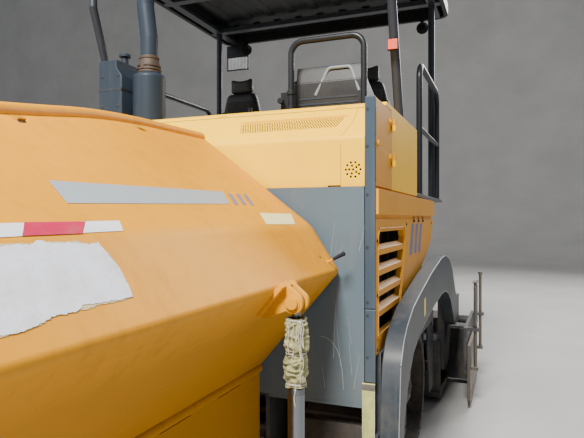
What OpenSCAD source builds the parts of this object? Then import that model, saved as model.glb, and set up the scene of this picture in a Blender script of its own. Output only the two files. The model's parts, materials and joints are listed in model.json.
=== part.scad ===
// Tracked asphalt paver with folding hopper wings, twin augers and an extending screed.
// Front faces -Y, left side is +X, up is +Z. Lengths along Y are measured from the firewall plane.

/* [Overall] */
// Place of the firewall plane along Y
wall_y = -775; // [-1200:5:-400]
// Half width of the tractor body
body_half = 1250; // [1100:5:1400]
// Sheet thickness of the painted panels
sheet = 6; // [4:1:12]

/* [Hopper] */
// Length of the hopper ahead of the firewall
hopper_len = 2080; // [1600:10:2400]
// Half spacing of the wing hinge lines
hinge_x = 680; // [600:5:760]
// Height of the wing hinge lines
hinge_z = 930; // [850:5:1000]
// Outward reach of the wing's lower panel when folded
crease_dx = 410; // [340:5:460]
// Rise of the wing's lower panel when folded
crease_dz = 480; // [400:5:560]
// Inward run of the middle band
band_dx = -136; // [-200:2:-80]
// Rise of the middle band
band_dz = 210; // [150:5:260]
// Slope of the upper wall above the horizontal
rim_slope = 37.1; // [30:0.1:45]
// Width of the upper wall at the wing's rear edge
rim_rear = 745; // [650:5:780]
// Width of the upper wall at three tenths of its length
rim_mid = 717; // [600:5:760]
// Width of the upper wall at six tenths of its length
rim_fore = 588; // [450:2:680]
// Width of the upper wall at its front edge
rim_front = 360; // [250:5:500]
// Half width of the thickened rim
rim_r = 26; // [18:1:32]
// Plate thickness of the wing
wing_t = 12; // [8:1:20]
// Radius of the wing hinge knuckles
knuckle_r = 24; // [18:1:32]
// Radius of the hinge pin
hinge_pin_r = 12; // [8:1:16]
// Number of knuckle pairs on a hinge
knuckle_n = 5; // [3:1:8]
// Gap between the wing's rear edge and the firewall
wing_gap = 30; // [15:1:60]

/* [Wing cylinder] */
// Distance of the rod pin outside the lower panel
ram_offset = 64; // [50:1:90]
// Distance of the rod pin from the hinge along the panel
ram_reach = 629; // [560:1:680]
// Place of the cylinder ahead of the firewall
ram_y = 700; // [500:5:1200]
// Height of the lower pivot
ram_foot_z = 300; // [260:5:380]
// Radius of the barrel
ram_barrel_r = 38; // [32:1:46]
// Length of the barrel above its pivot
ram_barrel_len = 450; // [400:5:500]
// Radius of the first stage
ram_stage_r = 29; // [24:1:32]
// Exposed length of the first stage
ram_stage_len = 326; // [310:2:360]
// Radius of the rod
ram_rod_r = 15; // [12:1:18]
// Radius of the cylinder pins
ram_pin_r = 15; // [12:1:20]
// Radius of the fabric sleeve
sleeve_r = 46; // [38:1:56]

/* [Chassis] */
// Half width over the chassis side plates
chassis_half = 720; // [660:5:780]
// Height of the chassis underside
chassis_z0 = 300; // [240:5:340]
// Height of the conveyor floor
floor_z = 512; // [480:2:560]
// Height of the tunnel roof's top face
roof_z = 800; // [760:5:860]
// Thickness of the chassis plates
frame_t = 20; // [12:1:30]
// Length of the tractor behind the firewall
tractor_len = 2150; // [1900:10:2400]
// Pitch of the conveyor bars
bar_pitch = 250; // [180:10:350]
// Radius of the lashing holes
lash_r = 30; // [20:1:40]
// Distance of the apron's hinge ahead of the chassis
apron_out = 20; // [19:1:40]
// Height of the apron
apron_h = 380; // [300:5:420]
// Radius of the apron's hinge pin
apron_pin_r = 8; // [6:1:11]

/* [Tracks] */
// Distance of the track's middle in from the body's side
track_inset = 220; // [170:5:270]
// Width of the shoes
shoe_w = 300; // [240:10:360]
// Overall height of the track
track_h = 820; // [740:10:880]
// Length of the tractor frame that the track leaves free
track_short = 50; // [20:5:150]
// Front end of the track behind the firewall
track_front = -50; // [-200:10:100]
// Height of a rubber pad
pad_h = 34; // [20:1:50]
// Thickness of the chain band
band_h = 26; // [16:1:40]
// Pitch of the shoes
shoe_pitch = 140; // [110:5:180]
// Radius of the road rollers
roller_r = 85; // [70:1:100]
// Number of road rollers
roller_n = 6; // [4:1:8]
// Number of sprocket teeth
sprocket_teeth = 15; // [11:1:21]

/* [Body] */
// Height of the firewall's top edge
fire_top = 1800; // [1700:5:1900]
// Height of the hood's front edge
hood_low = 2030; // [1950:5:2100]
// Height of the hood's top
hood_top = 2230; // [2150:5:2350]
// Run of the hood's sloped face
slope_run = 230; // [150:5:300]
// Length of the hood
hood_len = 1200; // [1000:10:1400]
// Height of the platform
deck_z = 1830; // [1750:5:1900]
// Length of the platform behind the tractor frame
deck_back = 750; // [600:10:900]
// Radius of the horn grille's pattern
horn_r = 37; // [30:1:45]
// Number of louvre slots
louvre_n = 5; // [3:1:8]
// Lower edge of the louvred opening
louvre_z0 = 1110; // [1080:5:1200]
// Upper edge of the louvred opening
louvre_z1 = 1590; // [1450:5:1610]
// Length of the service door
door_len = 350; // [300:5:420]
// Radius of the door hinge pins
door_pin_r = 6; // [4:1:8]

/* [Canopy] */
// Distance of the canopy's side in from the body's side
canopy_inset = 0; // [-100:5:150]
// Front edge of the canopy behind the firewall
canopy_front = 800; // [760:5:1000]
// Overhang of the canopy behind the platform
canopy_back = 350; // [100:10:450]
// Height of the canopy's lower edge
canopy_z = 3660; // [3500:5:3700]
// Height of the canopy's sheet above its lower edge
canopy_h = 120; // [80:5:160]
// Distance of the posts in from the body's side
post_inset = 120; // [70:5:200]
// Radius of the posts
post_r = 30; // [24:1:40]
// Height of the exhaust's tip
stack_top = 3850; // [3810:5:3950]
// Radius of the exhaust pipe
stack_r = 57; // [45:1:70]

/* [Operator stations] */
// Half spacing of the two seats
seat_x = 620; // [560:5:700]
// Distance of the seats ahead of the platform's rear edge
seat_back = 750; // [600:10:850]
// Distance of the console rail behind the hood
rail_back = 300; // [220:5:360]
// Radius of the console rail
rail_r = 25; // [20:1:32]
// Radius of the handrails
hand_r = 22; // [16:1:28]

/* [Augers] */
// Radius of the flights
flight_r = 180; // [150:5:200]
// Pitch of the flights
flight_pitch = 300; // [240:10:360]
// Radius of the auger shaft
auger_shaft_r = 42; // [34:1:50]
// Height of the auger axis
auger_z = 400; // [360:5:440]
// Distance of the auger behind the tractor frame
auger_back = 190; // [180:5:230]
// Outer end of the auger
auger_end = 1180; // [1000:10:1190]

/* [Screed] */
// Distance of the tow arms out from the body's side
arm_out = 20; // [18:1:50]
// Width of the tow arms
arm_w = 92; // [70:2:120]
// Radius of the tow pins
tow_pin_r = 30; // [24:1:40]
// Height of the tow pins
tow_z = 560; // [500:5:620]
// Place of the tow pins behind the firewall
tow_y = 45; // [42:1:90]
// Radius of the tow arms' eyes
tow_eye_r = 65; // [50:1:65]
// Distance of the screed behind the tractor frame
screed_back = 450; // [410:5:550]
// Depth of the main screed
screed_depth = 640; // [500:10:700]
// Distance of the screed's end in from the body's side
screed_inset = 10; // [0:5:150]
// Height of the screed's sole plate
sole_z = 60; // [40:2:100]
// Top of the screed boxes
screed_top = 560; // [500:5:600]
// Depth of the extension boxes
ext_depth = 300; // [240:10:340]
// Distance of the extensions' ends out from the body's side
ext_out = 190; // [150:5:250]
// Radius of the extension guide tubes
guide_r = 40; // [32:1:50]
// Thickness of the end plates
end_t = 25; // [16:1:32]
// Radius of the end plate spindles
spindle_r = 14; // [10:1:18]
// Distance of the walkway's rear edge behind the screed's front
walk_back = 1500; // [1400:10:1600]

/* [Lift cylinders] */
// Distance of the lift cylinders in from the body's side
lift_inset = 250; // [150:5:350]
// Height of the upper pivot
lift_top_z = 1650; // [1600:5:1700]
// Height of the lower eye
lift_eye_z = 760; // [720:5:800]
// Radius of the lift barrel
lift_barrel_r = 48; // [40:1:60]
// Radius of the lift rod
lift_rod_r = 28; // [22:1:34]

/* [Push rollers] */
// Radius of the push rollers
push_r = 75; // [60:1:90]
// Length of one push roller
push_len = 760; // [600:10:820]
// Distance of the roller axis ahead of the hopper
push_out = 395; // [320:5:470]
// Height of the roller axis
push_z = 520; // [460:5:560]
// Radius of the beam's pivot pin
push_pin_r = 35; // [25:1:45]

/* [Hidden] */
$fn = 48;
fit = 0.05;
gap = 0.3;
slack = 5;
weld = 0.8;
crease = [hinge_x + crease_dx, hinge_z + crease_dz];
bend = [crease[0] + band_dx, crease[1] + band_dz];
wing_y0 = wall_y - hopper_len;
wing_y1 = wall_y - wing_gap;
rim_pts = [[rim_rear, wing_y1 + 10], [rim_mid, wing_y1 - 0.28 * (wing_y1 - wing_y0)],
    [(rim_mid + rim_fore) / 2 + 18, wing_y1 - 0.43 * (wing_y1 - wing_y0)],
    [rim_fore, wing_y1 - 0.57 * (wing_y1 - wing_y0)], [rim_front, wing_y0 - 10]];
panel_a = atan2(crease_dz, crease_dx);
ram_x = hinge_x + ram_reach * cos(panel_a) + ram_offset * sin(panel_a);
ram_z = hinge_z + ram_reach * sin(panel_a) - ram_offset * cos(panel_a);
stage_z = ram_foot_z + ram_barrel_len + ram_stage_len;
track_x = body_half - track_inset;
track_len = tractor_len - track_short;
deck_end = tractor_len + deck_back;
canopy_rear = deck_end + canopy_back;
canopy_half = body_half - canopy_inset;
post_x = body_half - post_inset;
seat_y = deck_end - seat_back;
rail_y = hood_len + rail_back;
auger_y = tractor_len + auger_back;
arm_x = body_half + arm_out;
screed_front = tractor_len + screed_back;
screed_half = body_half - screed_inset;
ext_half = body_half + ext_out;
walk_rear = screed_front + walk_back;
lift_x = body_half - lift_inset;
push_y = hopper_len + push_out;
track_r = track_h / 2;
front_wheel_y = wall_y + track_front + track_r;
rear_wheel_y = wall_y + track_front + track_len - track_r;
wheel_r = track_r - pad_h - band_h - gap;
fender_z = track_h + 20;
beam_y = wall_y + tractor_len - 50;
screed_y = wall_y + screed_front;
ext_y = screed_y + screed_depth + 20;
guide_y = ext_y + ext_depth / 2;
guide_z = screed_top + 70;
end_z = 30;
lift_y = wall_y + tractor_len;
lift_eye_y = screed_y + 100;
bracket_z = screed_top + 110;
arm_s = screed_front;
arm_m = 0.5 * screed_front;
arm_pts = [[-20, 560], [-20, 640], [35, 985], [110, 1080], [200, 1135], [380, 1200],
    [610, 1240], [1070, 1310], [arm_m + 320, 1370], [arm_m + 600, 1372], [arm_s - 450, 1330],
    [arm_s - 200, 1230],
    [arm_s, 1080], [arm_s + 160, 960], [arm_s + 450, 940], [arm_s + 450, 700], [arm_s + 80, 700],
    [arm_s - 100, 830],
    [arm_s - 300, 975], [arm_s - 520, 1065], [arm_m + 550, 1105], [arm_m + 320, 1110], [1070, 1080],
    [610, 1030],
    [380, 970], [280, 900], [200, 830], [120, 720], [95, 600], [95, 560]];

chassis();
tunnel();
fenders();
ram_feet();
tow_guides();
auger_case();
ladder();
engine_block();
firewall();
hood();
side_panels();
deck();
rails();
exhaust();
canopy_posts();
canopy_roof();
lamps();
track();  // track_left
other_side() track();  // track_right
track_frames();
conveyor();
hopper_sides();
auger_shields();
flaps();
wing();  // wing_left
other_side() wing();  // wing_right
ram_barrel();  // ram_barrel_left
other_side() ram_barrel();  // ram_barrel_right
ram_stage();  // ram_stage_left
other_side() ram_stage();  // ram_stage_right
ram_rod();  // ram_rod_left
other_side() ram_rod();  // ram_rod_right
sleeve();  // sleeve_left
other_side() sleeve();  // sleeve_right
push_beam();
push_roller();  // push_roller_left
other_side() push_roller();  // push_roller_right
apron();
auger();  // auger_left
other_side() auger();  // auger_right
tow_arms();
screed();
walkway();
lift_barrel();  // lift_barrel_left
other_side() lift_barrel();  // lift_barrel_right
lift_rod();  // lift_rod_left
other_side() lift_rod();  // lift_rod_right
extension();  // extension_left
other_side() extension();  // extension_right
end_plate();  // end_plate_left
other_side() end_plate();  // end_plate_right
door();  // door_left
other_side() door();  // door_right
seat();  // seat_left
other_side() seat();  // seat_right
console();

module other_side() mirror([1, 0, 0]) children();

module both_sides() {
    children();
    mirror([1, 0, 0]) children();
}

// A box between two corners.
module box(a, b) translate(a) cube(b - a);

// A (Y, Z) outline extruded along X from x0 to x1.
module along_x(x0, x1) translate([x0, 0, 0]) rotate([90, 0, 90]) linear_extrude(x1 - x0) children();

// An (X, Z) outline extruded along Y from y0 to y1.
module along_y(y0, y1) translate([0, y1, 0]) rotate([90, 0, 0]) linear_extrude(y1 - y0) children();

// A round bar between two points.
module bar(p, q, r) {
    d = q - p;
    flat = norm([d[0], d[1]]);
    translate(p) rotate([0, atan2(flat, d[2]), atan2(d[1], d[0])]) cylinder(r = r, h = norm(d));
}

// A tube through a list of points, welded at a slightly proud ball at each inner point.
module pipe(pts, r) {
    for (i = [0 : len(pts) - 2]) bar(pts[i], pts[i + 1], r);
    for (i = [1 : len(pts) - 2]) translate(pts[i]) sphere(r + weld);
}

// A tube bent into a portal over a width, standing on z = 0 in the XZ plane.
module portal(w, h, bend_r, r) {
    for (x = [0, w]) translate([x, 0, 0]) cylinder(r = r, h = h - bend_r);
    translate([bend_r, 0, h - bend_r]) rotate([90, 0, 0]) rotate(90)
        rotate_extrude(angle = 90) translate([bend_r, 0]) circle(r);
    translate([w - bend_r, 0, h - bend_r]) rotate([90, 0, 0])
        rotate_extrude(angle = 90) translate([bend_r, 0]) circle(r);
    translate([bend_r, 0, h]) rotate([0, 90, 0]) cylinder(r = r, h = w - 2 * bend_r);
}

// The outline of a track loop at a distance in from the shoes' faces.
module loop_outline(inset) {
    r = track_r - inset;
    translate([front_wheel_y, track_r]) circle(r, $fn = 96);
    translate([rear_wheel_y, track_r]) circle(r, $fn = 96);
    translate([front_wheel_y, track_r - r]) square([rear_wheel_y - front_wheel_y, 2 * r]);
}

module chassis() color("#3A4048") {
    y0 = wall_y - hopper_len;
    y1 = wall_y + tractor_len;
    in = chassis_half - frame_t;
    both_sides() difference() {
        box([in, y0, chassis_z0], [chassis_half, y1, floor_z]);
        translate([in - 1, y0 + 90, chassis_z0 + 90]) rotate([0, 90, 0])
            cylinder(r = lash_r, h = frame_t + 2);
        translate([in - 1, wall_y - 175, chassis_z0 + 90]) rotate([0, 90, 0])
            cylinder(r = lash_r, h = frame_t + 2);
    }
    box([-in, y0, floor_z - 12], [in, y1, floor_z]);
    box([-in, y0 + 20, floor_z - 74], [in, y1, floor_z - 62]);
    box([-in, y0, chassis_z0], [in, y0 + 20, floor_z - 12]);
    box([-in, y1 - 20, chassis_z0], [in, y1, floor_z - 74]);
    nose_y = wall_y - push_y + 200;
    box([-160, nose_y - 70, chassis_z0 + 20], [160, y0, chassis_z0 + 60]);
    translate([0, nose_y, chassis_z0 + 20]) cylinder(r = push_pin_r, h = push_z - chassis_z0 + 70);
    translate([0, nose_y, chassis_z0 + 10]) cylinder(r = push_pin_r + 15, h = 10);
    translate([0, nose_y, chassis_z0 + 60])
        cylinder(r = push_pin_r + 20, h = push_z - 40 - gap - chassis_z0 - 60);
    translate([0, nose_y, push_z + 40 + gap]) cylinder(r = push_pin_r + 14, h = 10);
    apron_lugs();
    both_sides() box([chassis_half, wall_y + 800, chassis_z0 + 20],
        [track_x - 95, wall_y + 1200, chassis_z0 + 200]);
}

// The walls and the roof of the two conveyor tunnels.
module tunnel() color("#3A4048") {
    y1 = wall_y + tractor_len;
    in = chassis_half - frame_t;
    both_sides() box([in, wall_y + 12, floor_z], [chassis_half, y1, roof_z]);
    box([-60, wall_y + 12, floor_z], [60, y1, roof_z - 15]);
    box([-in, wall_y + 12, roof_z - 15], [in, y1, roof_z]);
}

// The covers over the tracks and the beam across their rear ends.
module fenders() color("#3A4048") {
    y1 = wall_y + tractor_len - 100;
    both_sides() {
        box([chassis_half, wall_y + 12, fender_z], [body_half - 10, y1, fender_z + 12]);
        box([chassis_half, wall_y + 12, roof_z - 15], [chassis_half + 12, y1, fender_z]);
        box([body_half - 50, wall_y + 12, fender_z + 12], [body_half - 10, y1, fender_z + 190]);
    }
    box([-body_half + 10, beam_y - 50, roof_z], [body_half - 10, beam_y, roof_z + 120]);
}

// The ears and the long pin that carry the front apron.
module apron_lugs() {
    y = wall_y - hopper_len - apron_out;
    z = floor_z + 10;
    both_sides() box([hinge_x - 10, y - 16, z - 26], [chassis_half, wall_y - hopper_len, z + 16]);
    translate([-hinge_x + 10, y, z]) rotate([0, 90, 0]) cylinder(r = apron_pin_r, h = 2 * hinge_x - 20);
}

// The brackets low on the chassis that carry the wing cylinders.
module ram_feet() color("#3A4048") both_sides() {
    y = wall_y - ram_y;
    in = ram_barrel_r + 4;
    for (d = [-1, 1]) box([chassis_half, y + d * (in + 10) - 10, ram_foot_z - 60],
        [ram_x + 40, y + d * (in + 10) + 10, ram_foot_z + 45]);
    box([chassis_half, y - in, ram_foot_z - 60], [ram_x + 40, y + in, ram_foot_z - 45]);
    translate([ram_x, y - in - 28, ram_foot_z]) rotate([-90, 0, 0]) cylinder(r = ram_pin_r, h = 2 * in + 56);
    for (d = [-in - 28, in + 20]) translate([ram_x, y + d, ram_foot_z]) rotate([-90, 0, 0])
        cylinder(r = ram_pin_r + 8, h = 8);
}

// The guides and the pins of the tow points.
module tow_guides() color("#6A84A0") both_sides() {
    y = wall_y + tow_y;
    box([body_half - 48, wall_y + 2, tow_z - 110], [arm_x - 8, wall_y + 190, tow_z + 110]);
    box([body_half - 48, wall_y + 60, tow_z + 110], [arm_x - 8, wall_y + 190, fender_z]);
    box([body_half - 10, wall_y + 60, fender_z], [arm_x - 8, wall_y + 190, fender_z + 190]);
    box([track_x + shoe_w / 2 + 12, wall_y + 70, tow_z + 200], [body_half - 48, wall_y + 180, fender_z]);
    translate([arm_x - 8, y, tow_z]) rotate([0, 90, 0]) cylinder(r = tow_pin_r, h = arm_w + 26);
    translate([arm_x + arm_w + 8, y, tow_z]) rotate([0, 90, 0]) cylinder(r = tow_pin_r + 14, h = 10);
}

// The drive case that hangs between the two augers.
// The drive case between the two augers.
module auger_case() color("#3A4048") {
    y = wall_y + auger_y;
    box([-52, beam_y, roof_z + 20], [52, y + 40, roof_z + 80]);
    box([-52, y - 60, auger_z - 60], [52, y + 60, roof_z + 20]);
    both_sides() translate([52, y, auger_z]) rotate([0, 90, 0]) cylinder(r = auger_shaft_r + 18, h = 12);
}

module engine_block() color("#4A4D50") {
    box([-380, wall_y + 160, roof_z], [380, wall_y + hood_len - 80, fire_top + 120]);
}

module firewall() color("#6B7A84") {
    edge = body_half - 50;
    box([-edge, wall_y, roof_z], [edge, wall_y + 12, fire_top]);
    both_sides() {
        box([edge, wall_y, fender_z + 55], [body_half, wall_y + 12, hood_top - 20]);
        box([chassis_half, wall_y, roof_z - 15], [edge, wall_y + 12, roof_z]);
    }
}

// The hood's outline seen from the side, between its front edge and the platform.
module hood_outline(d) {
    y0 = wall_y + d;
    y1 = wall_y + hood_len - d;
    polygon([[y0, fire_top - d], [y0, hood_low - d / 2], [y0 + 20, hood_low - d / 3],
        [y0 + 20 + slope_run, hood_top - d], [y1, hood_top - d], [y1, fire_top - d]]);
}

module hood() color("#FBD382") {
    edge = body_half - 50;
    difference() {
        union() {
            difference() {
                along_x(-edge, edge) hood_outline(0);
                along_x(6 - edge, edge - 6) hood_outline(sheet);
                box([-edge - 100, wall_y + 13, fire_top - 50],
                    [edge + 100, wall_y + hood_len - sheet, fire_top + 0.01]);
            }
            both_sides() {
                difference() {
                    along_x(edge - 1, body_half) hood_outline(0);
                    along_x(edge - 10, body_half - sheet) hood_outline(sheet);
                    box([edge - 100, wall_y - 1, fire_top - 60],
                        [body_half + 1, wall_y + 12.5, hood_top + 1]);
                    box([edge - 100, wall_y + 11, fire_top - 60],
                        [body_half + 1, wall_y + 18 + door_len, hood_top - 20]);
                    box([edge - 100, wall_y + 13, fire_top - 60],
                        [body_half - sheet, wall_y + hood_len - sheet, fire_top + 0.01]);
                }
                door_hinge_fixed();
            }
        }
        both_sides() for (i = [0 : 2]) for (k = [0 : (i == 0 ? 0 : 6 * i - 1)]) {
            a = i == 0 ? 0 : 60 * k / i;
            translate([edge - 54 + i * horn_r / 2.4 * cos(a), wall_y - 5, 1877 + i * horn_r / 2.4 * sin(a)])
                rotate([-90, 0, 0]) cylinder(r = 4.5, h = 20, $fn = 16);
        }
    }
}

module door_hinge_fixed() {
    x = body_half + 12;
    y = wall_y + 18 + door_len;
    for (z = [1950, 2130]) {
        translate([x, y, z - 30]) cylinder(r = door_pin_r + 5, h = 29.7);
        translate([x, y, z - 30]) cylinder(r = door_pin_r, h = 58);
        box([body_half, y + 2, z - 30], [body_half + 4, y + 40, z]);
    }
}

module door() color("#E6BC70") {
    x = body_half + 12;
    y1 = wall_y + 18 + door_len;
    difference() {
        box([body_half - 26, wall_y + 18, fire_top + 2], [body_half, y1 - 8, hood_top - 26]);
        box([body_half - 40, wall_y + 18 + sheet, fire_top + 2 + sheet],
            [body_half - sheet, y1 - 8 - sheet, hood_top - 26 - sheet]);
    }
    for (z = [1950, 2130]) difference() {
        union() {
            translate([x, y1, z]) cylinder(r = door_pin_r + 5, h = 30);
            box([body_half, y1 - 45, z], [body_half + 4, y1 - 3, z + 30]);
        }
        translate([x, y1, z - 1]) cylinder(r = door_pin_r + fit, h = 32);
    }
    translate([body_half, wall_y + 50, 2000]) rotate([0, 90, 0]) cylinder(r = 14, h = 8);
}

// The louvred lower side panels and the rounded lip band above them.
module side_panels() color("#C9A06A") both_sides() {
    z_top = 1650;
    z_low = fender_z + 190;
    y0 = wall_y + 12;
    difference() {
        along_x(body_half - 10, body_half) polygon([[y0, z_low], [wall_y + 580, z_low],
            [wall_y + 700, 1190], [wall_y + 800, 1240], [wall_y + 1040, 1250], [wall_y + 1490, 1350],
            [wall_y + 1850, 1470], [wall_y + 2000, 1620], [wall_y + 2000, z_top], [y0, z_top]]);
        along_x(body_half - 20, body_half + 1) louvre_opening(0);
    }
    difference() {
        along_x(body_half - 34, body_half - 10) louvre_opening(-14);
        along_x(body_half - 35, body_half - 9) louvre_opening(0);
    }
    intersection() {
        along_x(body_half - 34, body_half - 2) louvre_opening(0);
        for (i = [1 : louvre_n - 1]) {
            z = louvre_z0 + i * (louvre_z1 - louvre_z0) / louvre_n;
            along_y(wall_y, wall_y + 900) polygon([[body_half - 2, z - 14], [body_half - 2, z + 14],
                [body_half - 34, z + 34], [body_half - 34, z + 18]]);
        }
    }
    box([body_half - 24, y0, z_top], [body_half - 4, wall_y + 1940, z_top + 22]);
    box([body_half - 24, y0, z_top + 22], [body_half + 12, wall_y + 1940, fire_top - 12]);
    translate([body_half - 24, wall_y + 1940, 1730]) rotate([0, 90, 0]) cylinder(r = 58, h = 36);
    box([body_half - 24, y0, fire_top - 12], [body_half - 10, wall_y + hood_len, fire_top]);
    for (y = [wall_y + 14, wall_y + hood_len - 20])
        box([body_half - 50, y, z_low], [body_half - 10, y + 12, z_top + 22]);
    for (y = [1040, 1230, 1420])
        box([body_half - 4, wall_y + y, z_top - 4], [body_half + 4, wall_y + y + 40, z_top + 22]);
}

// The louvre's opening seen from the side, shrunk by a margin.
module louvre_opening(m) {
    a = wall_y + 64;
    polygon([[a + m, louvre_z0 + m], [wall_y + 520 - m * 0.7, louvre_z0 + m],
        [wall_y + 590 - m, louvre_z0 + 90 + m * 0.3],
        [wall_y + 735 - m, louvre_z1 - 40], [wall_y + 705 - m, louvre_z1 - m],
        [a + 30 + m * 0.5, louvre_z1 - m],
        [a + m, louvre_z1 - 30 - m * 0.5]]);
}

module deck() color("#3C434B") {
    y0 = wall_y + hood_len;
    box([-body_half + 30, y0, deck_z - 24], [body_half - 30, wall_y + deck_end, deck_z]);
    both_sides() {
        difference() {
            box([chassis_half + 20, y0 + 12, fender_z + 12],
                [body_half - 70, wall_y + tractor_len - 250, deck_z - 24]);
            box([chassis_half + 40, y0 + 32, fender_z + 11],
                [body_half - 90, wall_y + tractor_len - 270, deck_z - 54]);
        }
        for (x = [lift_x - lift_barrel_r - 20, lift_x + lift_barrel_r + 5])
            box([x, lift_y - 60, lift_top_z - 60], [x + 15, lift_y + 60, deck_z - 24]);
        translate([lift_x - lift_barrel_r - 26, lift_y, lift_top_z]) rotate([0, 90, 0])
            cylinder(r = 20, h = 2 * lift_barrel_r + 52);
        translate([seat_x, wall_y + seat_y, deck_z]) cylinder(r = 150, h = 16);
        translate([seat_x, wall_y + seat_y, deck_z + 16]) cylinder(r = 55, h = 330);
    }
    box([-chassis_half, y0, roof_z], [chassis_half, y0 + 12, deck_z - 24]);
    box([-chassis_half, beam_y - 50, roof_z + 120], [chassis_half, beam_y - 38, deck_z - 24]);
}

// The ladder at the rear of the platform.
module ladder() color("#3C434B") {
    for (x = [-300, 280]) box([x, wall_y + deck_end - 60, 1150], [x + 20, wall_y + deck_end, deck_z - 24]);
    for (i = [0 : 2]) box([-280, wall_y + deck_end - 160, 1170 + i * 220],
        [280, wall_y + deck_end, 1190 + i * 220]);
}

module rails() color("#24272C") {
    y0 = wall_y + hood_len;
    translate([340, y0 + 60, deck_z]) portal(540, 1100, 90, hand_r);
    side = body_half - 290;
    bar([-side, wall_y + rail_y, 2230], [side, wall_y + rail_y, 2230], rail_r);
    for (x = [-side, side]) box([x - 12, wall_y + rail_y - 40, deck_z],
        [x + 12, wall_y + rail_y + 40, 2270]);
    both_sides() {
        x = body_half - 60;
        translate([x, y0 + 500, deck_z]) rotate([0, 0, 90])
            portal(deck_end - hood_len - 640, 980, 120, hand_r);
        bar([x, y0 + 500, 2330], [x, wall_y + deck_end - 140, 2330], hand_r - 4);
    }
}

module exhaust() color("#2A303C") {
    x = -450;
    y = wall_y + 650;
    difference() {
        box([-750, wall_y + 500, hood_top], [-560, wall_y + 900, 2710]);
        box([-740, wall_y + 490, 2560], [-570, wall_y + 510, 2600]);
    }
    translate([x, y, hood_top]) cylinder(r = 108, h = 380);
    translate([x, y, hood_top + 380]) cylinder(r = stack_r + 14, h = 24);
    pipe([[x, y, hood_top + 404], [x, y, hood_top + 640], [x - 30, y, hood_top + 860],
        [x - 30, y, stack_top - 90]], stack_r);
    difference() {
        translate([x - 30, y, stack_top - 100]) cylinder(r = stack_r + 6, h = 100);
        translate([x - 30, y, stack_top - 80]) cylinder(r = stack_r, h = 100);
    }
}

module canopy_posts() color("#2A303C") both_sides() {
    pipe([[post_x, wall_y + hood_len + 70, deck_z], [post_x, wall_y + hood_len + 70, 2180],
        [post_x, wall_y + canopy_front + 80, canopy_z - 400],
        [post_x, wall_y + canopy_front + 80, canopy_z]], post_r);
    bar([post_x, wall_y + deck_end - 60, deck_z], [post_x, wall_y + deck_end - 60, canopy_z], post_r);
    for (y = [wall_y + hood_len + 70, wall_y + deck_end - 60]) translate([post_x, y, deck_z])
        cylinder(r = 60, h = 14);
}

module canopy_roof() color("#1A1A1E") {
    y0 = wall_y + canopy_front;
    y1 = wall_y + canopy_rear;
    difference() {
        box([-canopy_half, y0, canopy_z], [canopy_half, y1, canopy_z + canopy_h]);
        box([-canopy_half + 40, y0 + 40, canopy_z - 1],
            [canopy_half - 40, y1 - 40, canopy_z + canopy_h - 12]);
    }
    for (y = [y0 + 40, wall_y + 1900, y1 - 450])
        box([-canopy_half + 40, y, canopy_z], [canopy_half - 40, y + 80, canopy_z + 50]);
    both_sides() box([post_x - 40, y0 + 40, canopy_z], [post_x + 40, y1 - 40, canopy_z + 40]);
}

module lamps() color("#E8553A") {
    foot_y = hood_len + 70;
    y = wall_y + foot_y - (foot_y - canopy_front - 80) * 570 / (canopy_z - 2580);
    both_sides() {
        box([post_x - 34, y - 70, 2715], [post_x + 34, y - 45, 2785]);
        box([post_x - 10, y - 45, 2740], [post_x + 10, y - post_r - 5.8, 2760]);
        for (yy = [wall_y + canopy_front + 60, wall_y + canopy_rear - 36]) {
            translate([post_x - 140, yy, canopy_z - 70]) rotate([90, 0, 0])
                cylinder(r = 60, h = 70, center = true);
            translate([post_x - 140, yy, canopy_z - 12]) cylinder(r = 12, h = 12);
        }
    }
    box([-1250, wall_y + canopy_rear - 20, canopy_z - 290], [-970, wall_y + canopy_rear, canopy_z]);
}

// The rubber-padded chain loop of one track.
module track() color("#26282B") {
    x0 = track_x - shoe_w / 2;
    run = rear_wheel_y - front_wheel_y;
    n_run = floor(run / shoe_pitch);
    n_arc = floor(180 / (shoe_pitch / (track_r - pad_h) * 57.3));
    w = shoe_pitch - 16;
    along_x(x0, x0 + shoe_w) difference() {
        union() {
            loop_outline(pad_h);
            for (i = [0 : n_run - 1]) {
                y = front_wheel_y + (i + 0.5) * run / n_run - w / 2;
                translate([y, 0]) square([w, pad_h + 4]);
                translate([y, track_h - pad_h - 4]) square([w, pad_h + 4]);
            }
            for (i = [0 : n_arc - 1]) {
                a = (i + 0.5) * 180 / n_arc;
                translate([front_wheel_y, track_r]) rotate(90 + a) pad_outline(w);
                translate([rear_wheel_y, track_r]) rotate(a - 90) pad_outline(w);
            }
        }
        loop_outline(pad_h + band_h);
    }
}

module pad_outline(w) translate([track_r - pad_h - 8, -w / 2]) square([pad_h + 3, w]);

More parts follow.
